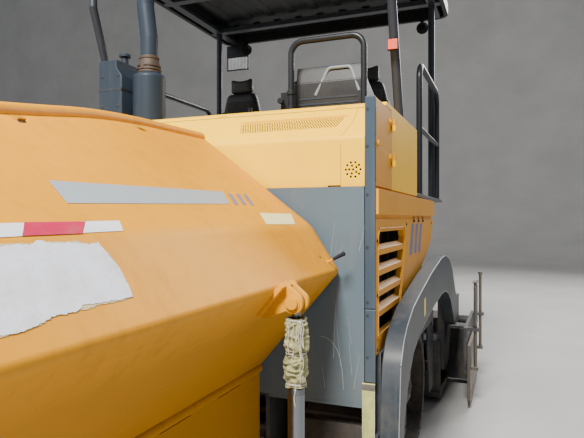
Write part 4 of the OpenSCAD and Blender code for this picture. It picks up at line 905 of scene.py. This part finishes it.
# A black disc on the tail pipe's capped end: painted shade of its open mouth.
upright(bm, pipe_x, stack_y, 3.84, 3.8485, 0.05)
settle("pipe_mouth", bm, black_and_painted_shade)
bm = bmesh.new()
upright(bm, stack_x, stack_y, 2.632, 2.745, 0.0785, 40, 0.0595)
for z, r in ((2.648, 0.0815), (2.672, 0.0778), (2.725, 0.0672)):
    upright(bm, stack_x, stack_y, z, z + 0.012, r, 40)
block(bm, (stack_x - 0.012, stack_y - 0.078, 2.65), (stack_x + 0.012, stack_y - 0.062, 2.675))
bolt(bm, (stack_x + 0.012, stack_y - 0.071, 2.662), (1, 0, 0), 0.006, 0.014)
upright(bm, pipe_x, stack_y, 3.75, 3.77, 0.0628, 40)
settle("pipe_clamps", bm, burnt, bevel=0.001)


# The canopy: a shallow moulded black roof with rounded corners and a ribbed underside on four bent
# tube posts bolted to the platform. Round work lamps with pale rings hang at its corners, amber
# reflectors are clipped to the front posts, and a sign plate with a mesh lower half hangs at the rear.
roof_black = paint("roof_black", "17181B", dust="4F4B44", grime=0.25, rough=0.45, coat=0.1)
post_dark = paint("post_enamel", "2A2F38", dust="5E584E", grime=0.25, rough=0.4, coat=0.3)
worn_bolts = steel("plated_bolts", "8E8C84", 0.4, 0.4, 0.8)
roof_low, roof_high, post_x = 3.66, 3.78, 1.13
roof_front, roof_rear = wall + 0.8, wall + 3.25


def plan(inset, radius, steps=8):
    """The roof seen from above, drawn in from its edge, with rounded corners."""
    half, y0, y1 = 1.25 - inset, roof_front + inset + radius, roof_rear - inset - radius
    x = half - radius
    corners = ((x, y1, 0), (-x, y1, 90), (-x, y0, 180), (x, y0, 270))
    return [(x + radius * cos(a), y + radius * sin(a)) for x, y, start in corners
            for a in (radians(start + 90 * k / steps) for k in range(steps + 1))]


bm = bmesh.new()
loft(bm, [[(x, y, z) for x, y in plan(inset, radius)] for inset, radius, z in (
    (0.04, 0.07, roof_high - 0.013), (0.04, 0.07, roof_low + 0.0005), (0, 0.11, roof_low + 0.0005),
    (0, 0.11, roof_high - 0.02), (0.015, 0.095, roof_high - 0.002))])
settle("roof_shell", bm, roof_black, "tractor", ["canopy_roof"], 0.004, smooth=30)
bm = bmesh.new()
for y in (roof_front + 0.04, wall + 1.9, roof_rear - 0.45):
    block(bm, (-1.209, y, roof_low + 0.001), (1.209, y + 0.08, roof_low + 0.05))
for x in (post_x, -post_x):
    block(bm, (x - 0.04, roof_front + 0.041, roof_low + 0.0015),
          (x + 0.04, roof_rear - 0.041, roof_low + 0.04))
settle("roof_beams", bm, post_dark, bevel=0.004)
bm = bmesh.new()
for x in (-0.96 + 0.24 * k for k in range(9)):
    for y0, y1 in ((roof_front + 0.16, wall + 1.86), (wall + 2.02, roof_rear - 0.49),
                   (roof_rear - 0.33, roof_rear - 0.08)):
        swage = ((-0.045, 0.0135), (-0.03, 0.026), (0.03, 0.026), (0.045, 0.0135))
        slab(bm, [(x + a, roof_high - b) for a, b in swage], y0, y1, "y")
for x in (-0.6, 0.6):
    for y in (roof_front + 0.08, wall + 1.94):
        bolt(bm, (x, y, roof_low + 0.001), (0, 0, -1), 0.009, 0.0006)
settle("roof_swages", bm, roof_black, bevel=0.004)

dress("canopy_posts", post_dark, 0.0015)
bm = bmesh.new()
for x in (post_x, -post_x):
    for y in (wall + 1.27, wall + 2.84):
        for spot in circle(x, y, 0.046, 4, radians(45)):
            bolt(bm, (*spot, 1.8445), (0, 0, 1), 0.0075, 0.007)
settle("post_bolts", bm, worn_bolts, bevel=0.0008)

orange = foil("amber_lens", "E8553A", "A84A34", 0.3, 0.25)
reflector_y = wall + 1.27 - 0.39 * 570 / 1080
bm = bmesh.new()
for x in (post_x, -post_x):
    block(bm, (x - 0.031, reflector_y - 0.0705, 2.718), (x + 0.031, reflector_y - 0.064, 2.782))
settle("reflectors", bm, orange, "tractor", ["lamps"], 0.003)
bm = bmesh.new()
for x in (post_x, -post_x):
    block(bm, (x - 0.034, reflector_y - 0.066, 2.715), (x + 0.034, reflector_y - 0.045, 2.785))
    block(bm, (x - 0.01, reflector_y - 0.045, 2.74), (x + 0.01, reflector_y - 0.036, 2.76))
lamp_z = 3.59
lamp_spots = [(x, y, aim) for x in (0.99, -0.99)
              for y, aim in ((roof_front + 0.06, -1), (roof_rear - 0.036, 1))]


def lamp_part(bm, near, far, radius, sides=36, radius_end=None):
    """A round part of every work lamp, between two distances along its beam."""
    for x, y, aim in lamp_spots:
        rod(bm, (x, y + aim * near, lamp_z), (x, y + aim * far, lamp_z), radius, sides, radius_end)


lamp_part(bm, -0.035, 0.012, 0.036, 36, 0.059)
lamp_part(bm, 0.012, 0.026, 0.0595)
for x, y, aim in lamp_spots:
    upright(bm, x, y, 3.642, 3.66, 0.012, 20)
    block(bm, (x - 0.02, y - 0.02, 3.652), (x + 0.02, y + 0.02, 3.662))
settle("lamp_housings", bm, black_and_painted_shade, bevel=0.0015)
bm = bmesh.new()
lamp_part(bm, 0.026, 0.031, 0.056, 36, 0.05)
lens = foil("lamp_lens", "C8D2DA", "8D949A", 0.2, 0.12)
settle("lamp_rings", bm, lens, bevel=0.001)
bm = bmesh.new()
lamp_part(bm, 0.031, 0.0318, 0.036, 28)
settle("lamp_glass", bm, black_and_painted_shade)
bm = bmesh.new()
block(bm, (-1.25, roof_rear - 0.02, 3.52), (-0.97, roof_rear - 0.0005, 3.6595))
for x0, x1, z0, z1 in ((-1.25, -0.97, 3.37, 3.382), (-1.25, -1.238, 3.37, 3.52), (-0.982, -0.97, 3.37, 3.52)):
    block(bm, (x0, roof_rear - 0.019, z0), (x1, roof_rear - 0.001, z1))
settle("sign_plate", bm, roof_black, bevel=0.002)
silver = steel("mesh_silver", "C9CDD0", 0.35, 0.1, 0.9)
bm = bmesh.new()
for x in (-1.238 + 0.256 * k / 14 for k in range(1, 14)):
    upright(bm, x, roof_rear - 0.012, 3.382, 3.52, 0.0022, 6)
for z in (3.382 + 0.138 * k / 8 for k in range(1, 8)):
    rod(bm, (-1.238, roof_rear - 0.008, z), (-0.982, roof_rear - 0.008, z), 0.0022, 6)
settle("sign_mesh", bm, silver)


# The two seats: vinyl over foam, a shaped back with raised sides, a headrest with a shallow saddle,
# armrests with a joystick, all on a suspension base with a rubber bellows on the steel pedestal.
def rubber(name, tone, dust, amount, rough=0.72):
    """Rubber, vinyl or moulded plastic, greyed by dust."""
    made, skin, where = finish(name)
    mask = where.patches(6, 0.35, 0.75) * amount
    colour = mixed(mask, hex_colour(tone), hex_colour(dust))
    return feed(made, skin, colour, rough + mask * 0.2, where.noise(90, 4), 0.25, 0.002)


def pad(bm, low, high, radius, swell=(0, 0, 0), cuts=9):
    """A stuffed block: rounded edges, and the middle of its faces pushed out."""
    part = bmesh.new()
    bmesh.ops.create_cube(part, size=2)
    bmesh.ops.subdivide_edges(part, edges=part.edges, cuts=cuts, use_grid_fill=True)
    low, high = Vector(low), Vector(high)
    half, middle = (high - low) / 2, (high + low) / 2
    for v in part.verts:
        unit = v.co.copy()
        spot = Vector([unit[i] * half[i] for i in range(3)])
        core = Vector([min(max(spot[i], radius - half[i]), half[i] - radius) for i in range(3)])
        away = spot - core
        if away.length > 1e-9:
            spot = core + away.normalized() * radius
        for i in range(3):
            j, k = (i + 1) % 3, (i + 2) % 3
            if abs(unit[i]) > 0.98:
                spot[i] += math.copysign(swell[i], unit[i]) * (1 - unit[j] ** 2) * (1 - unit[k] ** 2)
        v.co = spot + middle
    scratch = bpy.data.meshes.new("pad")
    part.to_mesh(scratch)
    part.free()
    bm.from_mesh(scratch)
    bpy.data.meshes.remove(scratch)


vinyl = rubber("seat_vinyl", "1B1C20", "45423C", 0.25, 0.5)
seat_weave = cloth("seat_fabric", "26282D", "4A4740", 0.4, 1400)
black = rubber("black_plastic", "16181C", "4A4843", 0.25, 0.45)
seat_y, seat_z = wall + 2.15, 2.176


def upholster(name, material, pads, shape=None, replaced=()):
    """Padding of the seat at x: pads by middle, half width, depth, height, radius, swell and cuts."""
    bm = bmesh.new()
    for aside, half, (y0, y1), (z0, z1), radius, swell, cuts in pads:
        pad(bm, (x + aside - half, seat_y + y0, seat_z + z0), (x + aside + half, seat_y + y1, seat_z + z1),
            radius, swell, cuts)
        if shape:
            for v in bm.verts:
                v.co = shape(v.co)
            shape = None
    piece = settle(f"seat_{name}_{side}", bm, material, "seat_" + side, replaced, 0, smooth=80)


def taper(spot):
    """The back narrows towards its top."""
    rise = (spot.z - seat_z - 0.17) / 0.52
    return Vector((x + (spot.x - x) * (1 - 0.28 * max(0.0, rise - 0.35) ** 1.5 * 2), spot.y, spot.z))


def saddle(spot):
    """The headrest dips in the middle of its top and is waisted."""
    across, rise = (spot.x - x) / 0.122, (spot.z - seat_z - 0.7) / 0.149
    dip = 0.028 * max(0.0, 1 - across ** 2) * max(0.0, rise - 0.4) / 0.6
    return Vector((x + (spot.x - x) * (0.97 - 0.05 * sin(pi * rise)), spot.y, spot.z - dip))


for side, mirror in sides:
    body, x = "seat_" + side, mirror * 0.62
    flat = (0, 0, 0)
    upholster("cushion", vinyl, [(0, 0.235, (-0.248, 0.2), (0.075, 0.168), 0.035, flat, 9)],
              replaced=[body])
    upholster("bolsters", vinyl, [(aside, 0.04, (-0.235, 0.19), (0.1, 0.185), 0.03, (0, 0, 0.006), 7)
                                       for aside in (-0.19, 0.19)])
    upholster("insert", seat_weave, [(0, 0.15, (-0.22, 0.18), (0.12, 0.176), 0.026, (0, 0, 0.01), 9),
                                          (0, 0.15, (0.162, 0.215), (0.21, 0.62), 0.026, (0, 0.008, 0), 9)])
    wings = [(aside, 0.038, (0.158, 0.25), (0.2, 0.52), 0.034, flat, 7) for aside in (-0.18, 0.18)]
    back = (0, 0.215, (0.185, 0.282), (0.17, 0.698), 0.045, flat, 11)
    upholster("back", vinyl, [back] + wings, taper)
    rest = (0, 0.122, (0.193, 0.268), (0.7, 0.849), 0.034, (0, 0.006, 0), 13)
    upholster("headrest", vinyl, [rest], saddle)
    bm = bmesh.new()
    for lean in (-1, 1):
        upright(bm, x + lean * 0.05, seat_y + 0.232, seat_z + 0.67, seat_z + 0.73, 0.006, 12)
        arm = [(0.262, 0.19, 0.16), (0.268, 0.17, 0.255), (0.268, -0.15, 0.262)]
        tube(bm, arcs([(x + lean * a, seat_y + b, seat_z + c) for a, b, c in arm], 0.05), 0.014, 12)
        hub_y, hub_z = seat_y + 0.19, seat_z + 0.17
        rod(bm, (x + lean * 0.232, hub_y, hub_z), (x + lean * 0.28, hub_y, hub_z), 0.028, 24)
    grip = Vector((x - mirror * 0.268, seat_y - 0.13, seat_z + 0.29))
    rod(bm, grip, grip + Vector((0, 0, 0.05)), 0.03, 24, 0.012)
    rod(bm, grip, grip + Vector((0, -0.012, 0.13)), 0.007, 12)
    rod(bm, grip + Vector((0, -0.01, 0.1)), grip + Vector((0, -0.022, 0.18)), 0.016, 16, 0.02)
    settle("seat_arms_" + side, bm, black, body)
    upholster("armpads", vinyl, [(aside, 0.03, (-0.155, 0.13), (0.245, 0.295), 0.02, (0, 0, 0.003), 7)
                                      for aside in (-0.268, 0.268)])
    bm = bmesh.new()
    folds = [(0.118 if k % 2 else 0.1, 0.002 + 0.0065 * k) for k in range(7)] + [(0.118, 0.045)]
    turned(bm, x, seat_y, [(r, seat_z + z) for r, z in folds], 40)
    block(bm, (x - 0.215, seat_y - 0.235, seat_z + 0.043), (x + 0.215, seat_y + 0.2, seat_z + 0.08))
    rod(bm, (x + 0.17, seat_y - 0.249, seat_z + 0.06), (x + 0.17, seat_y - 0.22, seat_z + 0.06), 0.014, 20)
    settle("seat_base_" + side, bm, black, body, bevel=0.003)

# The operator's console: a moulded dark housing on a carriage that slides along the rail, with a
# sloping panel of switches, dials, a screen and a lever, a bent tube guard and moulded ribs in front.
rail_y, foot_z = wall + 1.5, 2.291
bm = bmesh.new()
shape = [(0.01, foot_z), (0.12, foot_z), (0.2295, 2.6), (-0.06, 2.7), (-0.1295, 2.66), (-0.1, foot_z),
         (0.01, foot_z)]
slab(bm, rounded([(rail_y + y, z) for y, z in shape], [0.03, 0.03, 0.03, 0.02, 0.03], 5)[:-1], 0.302, 0.848)
settle("console_housing", bm, black, "console", ["console"], 0.008, smooth=25)
bm = bmesh.new()
for z in (2.33, 2.37, 2.41, 2.45, 2.49, 2.53):
    y = rail_y - 0.1 - 0.0295 * (z - foot_z) / 0.369
    block(bm, (0.345, y - 0.0035, z), (0.805, y + 0.004, z + 0.014))
for y0, y1, z0, z1 in ((-0.06, 0.06, 2.171, 2.2045), (-0.06, 0.06, 2.2555, foot_z),
                       (-0.06, -0.027, 2.2045, 2.2555), (0.027, 0.06, 2.2045, 2.2555)):
    block(bm, (0.301, rail_y + y0, z0), (0.849, rail_y + y1, z1))
settle("console_carriage", bm, dark, "console", bevel=0.002)
panel_up = Vector((0, 0.326, 0.945))


def on_panel(x, t, lift):
    """A point on the console's sloping panel, t from the operator's edge to the far one."""
    return Vector((x, rail_y + 0.22 - 0.27 * t, 2.6033 + 0.0931 * t)) + panel_up * lift


def panel_plates(bm, plates, lift, thick):
    """Flat plates on the console's panel, given by their sides, near and far edges."""
    for x0, x1, t0, t1 in plates:
        quad = [on_panel(x, t, lift) for x, t in ((x0, t0), (x1, t0), (x1, t1), (x0, t1))]
        loft(bm, [quad, [p + panel_up * thick for p in quad]])


def panel_rods(bm, rods, sides):
    """Round knobs and levers on the console's panel, given by foot, top and radius."""
    for (x, t, lift), (t_top, lift_top), radius, *radius_end in rods:
        rod(bm, on_panel(x, t, lift), on_panel(x, t_top, lift_top), radius, sides, *radius_end)


bm = bmesh.new()
panel_plates(bm, [(0.32, 0.83, 0.06, 0.94)], 0.0, 0.003)
settle("console_panel", bm, plate_grey, "console", bevel=0.001)
bm = bmesh.new()
panel_plates(bm, [(0.5, 0.65, 0.5, 0.9), (0.35, 0.41, 0.62, 0.86)], 0.003, 0.006)
glass = foil("screen_glass", "10161C", "2C3036", 0.2, 0.1)
settle("console_screen", bm, glass, "console", bevel=0.001)
bm = bmesh.new()
for row, t in enumerate((0.14, 0.3)):
    for k in range(9):
        top, radius = (0.012, 0.009) if (k + row) % 3 else (0.022, 0.012)
        panel_rods(bm, [((0.36 + k * 0.055, t, 0.003), (t, top), radius)], 16)
panel_rods(bm, [((x, 0.7, 0.003), (0.7, 0.02), 0.022) for x in (0.7, 0.76)], 28)
panel_rods(bm, [((0.79, 0.45, 0.003), (0.4, 0.07), 0.006)], 16)
panel_rods(bm, [((0.79, 0.4, 0.07), (0.39, 0.1), 0.013, 0.010)], 20)
settle("console_switches", bm, black, "console", bevel=0.0012)
bm = bmesh.new()
panel_rods(bm, [((x, t, 0.003), (t, 0.014), 0.010) for x, t in ((0.43, 0.75), (0.46, 0.75), (0.43, 0.6))], 20)
panel_rods(bm, [((0.34, 0.45, 0.003), (0.45, 0.024), 0.018)], 24)
settle("console_stop", bm, orange, "console", bevel=0.001)
bm = bmesh.new()
visor = [(-0.128, 2.655), (-0.104, 2.772), (0.035, 2.795), (0.04, 2.783), (-0.08, 2.758), (-0.062, 2.694)]
slab(bm, [(rail_y + y, z) for y, z in visor], 0.335, 0.835)
settle("console_visor", bm, black, "console", bevel=0.005, smooth=25)
guard_grey = paint("guard_grey", "7E8890", dust="6F675B", grime=0.2, rough=0.4)
bm = bmesh.new()
guard = [(x, rail_y - 0.116, z) for x, z in ((0.484, 2.56), (0.584, 2.752), (0.75, 2.752), (0.815, 2.57))]
tube(bm, arcs(guard, 0.04, 8), 0.0125, 16)
settle("console_guard", bm, guard_grey, "console")

# The handrails: bent and welded black steel tube, flanged and bolted to the platform, with a knob
# clamp on the arch. The platform is tread plate over a boxed tank, with the ladder's punched treads.
rail_black = paint("rail_black", "1C1F24", dust="5E584E", grime=0.25, rough=0.4, coat=0.2)
dress("rails", rail_black, 0.0015)
bm = bmesh.new()
arch_x, arch_y, floor_z = 0.34, wall + 1.26, 1.83
for x, y in ((arch_x, arch_y), (0.88, arch_y)):
    upright(bm, x, y, floor_z, floor_z + 0.008, 0.048, 28)
    for spot in circle(x, y, 0.036, 3, 0.5):
        bolt(bm, (*spot, floor_z + 0.01), (0, 0, 1), 0.006, 0.005)
for x in (1.19, -1.19):
    for y in (wall + 1.7, wall + 2.76):
        upright(bm, x, y, floor_z, floor_z + 0.008, 0.03, 28)
upright(bm, arch_x, arch_y, 2.43, 2.47, 0.03, 28)
upright(bm, arch_x, arch_y, 2.55, 2.58, 0.03, 28)
block(bm, (0.262, wall + 1.25, 2.44), (0.32, wall + 1.27, 2.57))
rod(bm, (0.28, wall + 1.25, 2.5), (0.28, wall + 1.22, 2.5), 0.008, 16)
rod(bm, (0.28, wall + 1.22, 2.5), (0.28, wall + 1.19, 2.5), 0.022, 12)
settle("rail_fittings", bm, rail_black, bevel=0.002)


def tread_plate(name, tone, dust):
    """Enamelled tread plate with raised lozenges."""
    made, skin, where = finish(name, coat=0.1)
    mask = where.patches(7, 0.35, 0.75) * 0.5
    one, two = (where.place((1, 1, 1), (0, 0, 0.785)).node("TexWave", {"bands_direction": way},
                                                          {"Scale": 16.0}, output=1) for way in "XY")
    raised = (one * two).ramp((0.55, 0.0), (0.7, 1.0))
    colour = mixed(mask, hex_colour(tone), hex_colour(dust))
    colour = mixed(raised * 0.35, colour, hex_colour("8A8880"))
    return feed(made, skin, colour, 0.5 + mask * 0.3, raised, 0.6, 0.003)


tread = tread_plate("tread_plate", "353A42", "6F675B")
for node in ("deck", "ladder"):
    dress(node, tread, 0.003)


# The undercarriage: rubber-faced track shoes on steel links, rusty rolling surfaces, and a welded
# frame caked with dried dirt. Each shoe's pad is bolted on, and the hubs have bolted covers.
def caked(name, tone, dirt, amount, rough=0.6):
    """Dark enamel under a crust of dried dirt and asphalt dust, thicker towards the ground."""
    made, skin, where = finish(name)
    height = where.node("SeparateXYZ", None, {0: where}, output=2)
    crust = (where.patches(4, 0.38, 0.62, 0.72) * (1.35 - height * 0.9)).clamp() * amount
    grit = where.noise(60, 6, 0.75)
    rust = where.patches(13, 0.62, 0.7, 0.75) * 0.5
    colour = mixed(rust, hex_colour(tone), hex_colour("6A4630"))
    colour = mixed(crust, colour, mixed(grit, hex_colour(dirt), hex_colour(dirt, 0.6)))
    rough = rough + crust * 0.35
    relief = grit * crust + where.noise(150, 2) * 0.15
    return feed(made, skin, colour, rough, relief, 0.4, 0.003)


frame_dark = caked("frame_enamel", "2E333A", "75695A", 0.75)
shoe_rubber = caked("track_rubber", "1A1A1C", "6B6154", 0.7, 0.75)
link_steel = caked("link_steel", "4A4540", "6B5A48", 0.6, 0.5)
track_z, track_face, hub_face = 0.41, 1.1251, 1.135
front_wheel, rear_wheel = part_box("track_left")[0][1] + track_z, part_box("track_left")[1][1] - track_z
run = rear_wheel - front_wheel
shoes = math.floor(run / 0.14)
for side, mirror in sides:
    dress("track_" + side, shoe_rubber, 0.004)
    bm = bmesh.new()
    for y in (front_wheel + (k + 0.5) * run / shoes for k in range(shoes)):
        for x in (0.94, 1.12):
            for dy in (-0.032, 0.032):
                bolt(bm, (mirror * x, y + dy, 2 * track_z - 0.0165), (0, 0, 1), 0.009, 0.007)
        for x in (mirror * 1.0, mirror * 1.06):
            link = ((-0.055, 0.108), (0.055, 0.108), (0.03, 0.085), (-0.03, 0.085))
            slab(bm, [(y + a, 2 * track_z - b) for a, b in link], x - 0.008, x + 0.008)
    settle("track_links_" + side, bm, link_steel)
dress("track_frames", frame_dark, 0.004)
bm = bmesh.new()
for mirror in (1, -1):
    for wheel in (front_wheel, rear_wheel):
        rod(bm, (mirror * 1.1249, wheel, track_z), (mirror * hub_face, wheel, track_z), 0.048, 40, 0.042)
        for spot in circle(wheel, track_z, 0.033, 6):
            bolt(bm, (mirror * hub_face, *spot), (mirror, 0, 0), 0.0045, 0.004)
        rod(bm, (mirror * hub_face, wheel, track_z), (mirror * 1.139, wheel, track_z), 0.02)
    for y in (front_wheel + 0.16 + k * (run - 0.32) / 5 for k in range(6)):
        bolt(bm, (mirror * track_face, y, 0.175), (mirror, 0, 0), 0.009, 0.006)
    for y in (front_wheel + 0.05 + k * (run - 0.1) / 7 for k in range(8)):
        bolt(bm, (mirror * track_face, y, 0.49), (mirror, 0, 0), 0.009, 0.007)
settle("hub_covers", bm, frame_dark, bevel=0.0012)
for node in ("tunnel", "fenders", "ram_feet", "auger_case", "chassis"):
    dress(node, frame_dark, 0.003)
dress("engine_block", steel("engine_iron", "5A5C5E", 0.6, 0.4, 0.4), 0.01)

# The tow arms: thick flame-cut plate arms in slate blue enamel, darkened as painted shade, worn bright
# along their edges, each pinned to a cast guide block at the front. A small yellow notice sticks on the inner
# curve.
arm_grey_shaded = paint("arm_grey_shaded", "28323B", dust="84796A", grime=0.45, rough=0.45, coat=0.12)
guide_grey = paint("guide_grey", "333D48", dust="84796A", grime=0.5, rough=0.5)
edge_worn = steel("edge_worn", "A8ADB2", 0.45, 0.35, 0.6)
notice = foil("notice_yellow", "E8CF3C", "9A8F52", 0.3)
dress("tow_arms", arm_grey_shaded, 0.006)
dress("tow_guides", guide_grey, 0.007)
arms, bm = merged("tow_arms"), bmesh.new()
pin_y, pin_z, arm_face = wall + 0.045, 0.56, 1.3624
for e in arms.edges:
    if len(e.link_faces) == 2 and e.calc_length() > 0.06 and all(abs(v.co.x) > 1.36 for v in e.verts):
        a, b = [v.co for v in e.verts]
        inward = Vector((math.copysign(0.0033, a.x), 0, 0))
        rod(bm, a.lerp(b, 0.01) - inward, b.lerp(a, 0.01) - inward, 0.0024, 8)
arms.free()
settle("arm_edges", bm, edge_worn, "screed")
bm = bmesh.new()
for mirror in (1, -1):
    rod(bm, (mirror * 1.3621, pin_y, pin_z), (mirror * 1.366, pin_y, pin_z), 0.058, 40)
    for spot in circle(pin_y, pin_z, 0.027, 3):
        bolt(bm, (mirror * 1.3805, *spot), (mirror, 0, 0), 0.0065, 0.005)
    block(bm, (mirror * 1.225, wall + 0.0605, 0.885), (mirror * 1.255, wall + 0.064, 0.99))
settle("tow_pin_caps", bm, worn_bolts, bevel=0.001)
for side, mirror in sides:
    x = mirror * arm_face
    film("arm_notice_" + side, [[(x, wall + 0.74, z), (x, wall + 0.8, z + 0.01)] for z in (1.19, 1.09)],
         notice, "screed")

# The flaps beside the posts: yellow-green coated canvas with a pale piped edge, clamped at the top
# under a steel strip, rippled a little and stained in patches.
flap_skin = cloth("flap_canvas", "B4B66C", "6B6748", 0.6, 700)
piping = cloth("flap_piping", "DAD9B8", "8A8668", 0.4, 1400)
flap_rows, flap_columns = 24, 8
for side, mirror in sides:
    points = []
    for share in (i / flap_rows for i in range(flap_rows + 1)):
        points.append([Vector((mirror * (1.1915 + 0.055 * j / flap_columns),
                               wall - 0.004 - 0.0022 * sin(share * flap_rows * 0.9 + j * 0.5) * share,
                               0.905 - 0.503 * share)) for j in range(flap_columns + 1)])
    bm = bmesh.new()
    bridge(bm, [[bm.verts.new(p) for p in row] for row in points])
    flap = settle("flap_" + side, bm, flap_skin, "tractor", ["flaps"], 0, 80, 0.0024)
    bm = bmesh.new()
    tube(bm, [row[0] for row in points] + points[-1][1:] + [row[-1] for row in points[-2::-1]], 0.0022, 8)
    hem = settle("flap_piping_" + side, bm, piping, smooth=80)
    bm = bmesh.new()
    block(bm, (mirror * 1.19, wall - 0.0078, 0.873), (mirror * 1.248, wall - 0.0062, 0.9))
    for x in (1.203, 1.235):
        bolt(bm, (mirror * x, wall - 0.0072, 0.887), (0, -1, 0), 0.004, 0.0006)
    strip = settle("flap_clamp_" + side, bm, worn_bolts)

# The hopper's floor and walls: bar conveyor chains polished by the mix between ochre side walls with
# a bolted foot, the ribbed apron in front and, ahead of it, the push beam with its two rollers.
worn = steel("worn_steel", "8B8984", 0.45, 0.35)
dress("conveyor", steel("polished_bars", "A3A19B", 0.3, 0.2), 0.003)
bm = bmesh.new()
for x in (0.105, 0.645, -0.105, -0.645):
    y = wall - 2.0
    while y < wall + 2.1:
        rod(bm, (x - 0.014, y, 0.534), (x + 0.014, y, 0.534), 0.009, 12)
        y += 0.075
settle("conveyor_pins", bm, worn)
dress("hopper_sides", ochre_shaded_low, 0.003)
bm = bmesh.new()
for mirror in (1, -1):
    for k in range(7):
        bolt(bm, (mirror * 0.7045, wall - 1.95 + k * 0.3, 0.56), (mirror, 0, 0), 0.008, 0.005)
settle("hopper_bolts", bm, worn_bolts)
dress("apron", ochre_shaded_low, 0.003)
dress("push_beam", ochre_shaded_low, 0.004)
bm = bmesh.new()
push_y, push_z = wall - 2.475, 0.52
for x in (-0.81, 0.81):
    bolt(bm, (x, push_y - 0.0405, push_z + 0.03), (0, -1, 0), 0.007, 0.005)
for x in (-0.7, -0.35, 0.35, 0.7):
    for rise in (0.05, -0.05):
        bolt(bm, (x, push_y + 0.0895, push_z + rise), (0, -1, 0))
settle("push_bolts", bm, worn_bolts, "push_beam", bevel=0.001)
tread_line = [(0.0212, 0.041), (0.0212, 0.789), (0.07, 0.789), (0.0745, 0.784), (0.0745, 0.6),
              (0.0725, 0.597), (0.0725, 0.588), (0.0745, 0.585), (0.0745, 0.245), (0.0725, 0.242),
              (0.0725, 0.233), (0.0745, 0.23), (0.0745, 0.046), (0.07, 0.041)]
for side, mirror in sides:
    roller = "push_roller_" + side
    bm = bmesh.new()
    loft(bm, [[(mirror * x, *p) for p in circle(push_y, push_z, r, 72)] for r, x in tread_line], True)
    settle("push_roller_skin_" + side, bm, worn, roller, [roller], 0, smooth=30)

# The augers: cast flights on a tube shaft, bright where the mix rubs, between dark shields.
mix_worn = steel("auger_steel", "7C766C", 0.5, 0.4, 0.75)
auger_y, auger_z = wall + 2.34, 0.4
for side, mirror in sides:
    dress("auger_" + side, mix_worn, 0.0025)
    bm = bmesh.new()
    for x in (mirror * (0.2 + k * 0.36) for k in range(3)):
        rod(bm, (x, auger_y, auger_z), (x + mirror * 0.05, auger_y, auger_z), 0.0475)
        for a in (0.4, 3.54):
            spot = (x + mirror * 0.025, auger_y + 0.047 * cos(a), auger_z + 0.047 * sin(a))
            bolt(bm, spot, (0, cos(a), sin(a)), 0.007, 0.006)
    settle("auger_clamps_" + side, bm, mix_worn, "auger_" + side, bevel=0.001)
# The shields take the arm grey, darkened as painted shade.
dress("auger_shields", arm_grey_shaded, 0.004)

# The screed: a dark enamelled box over a worn sole plate, extensions on chromed guide tubes, plated
# spindles in the end plates, two lift cylinders, and a walkway of folded tread plate.
screed_dark = caked("screed_enamel", "23272E", "6E6456", 0.6, 0.5)
sole_worn = steel("sole_steel", "6F6A62", 0.4, 0.5, 0.8)
dress("screed", screed_dark, 0.004)
dress("walkway", tread, 0.003)
walk_low, walk_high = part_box("walkway")
bm = bmesh.new()
for x in (-1.16, 1.16, -0.58, 0.58, 0):
    block(bm, (x - 0.02, walk_low[1] + 0.01, 0.3805), (x + 0.02, walk_high[1] - 0.002, 0.4105))
settle("walkway_straps", bm, screed_dark, "screed", bevel=0.001)
for side, mirror in sides:
    for node, material, bevel in (("extension_", screed_dark, 0.004), ("end_plate_", sole_worn, 0.004),
                                  ("lift_barrel_", dark, 0.003), ("lift_rod_", chrome, 0.002)):
        dress(node + side, material, bevel)
    bm = bmesh.new()
    spindle_x, handle_z = mirror * 1.535, 1.1
    for y in (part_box("screed")[0][1] + 0.02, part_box("extension_" + side)[0][1] + 0.22):
        for z in (0.72 + k * 0.0085 for k in range(40)):
            upright(bm, spindle_x, y, z, z + 0.0035, 0.0148, 16)
        rod(bm, (spindle_x - 0.022, y, handle_z), (spindle_x + 0.022, y, handle_z), 0.005, 10)
        rod(bm, (spindle_x, y - 0.022, handle_z), (spindle_x, y + 0.022, handle_z), 0.005, 10)
    settle("spindle_threads_" + side, bm, worn_bolts, "end_plate_" + side)
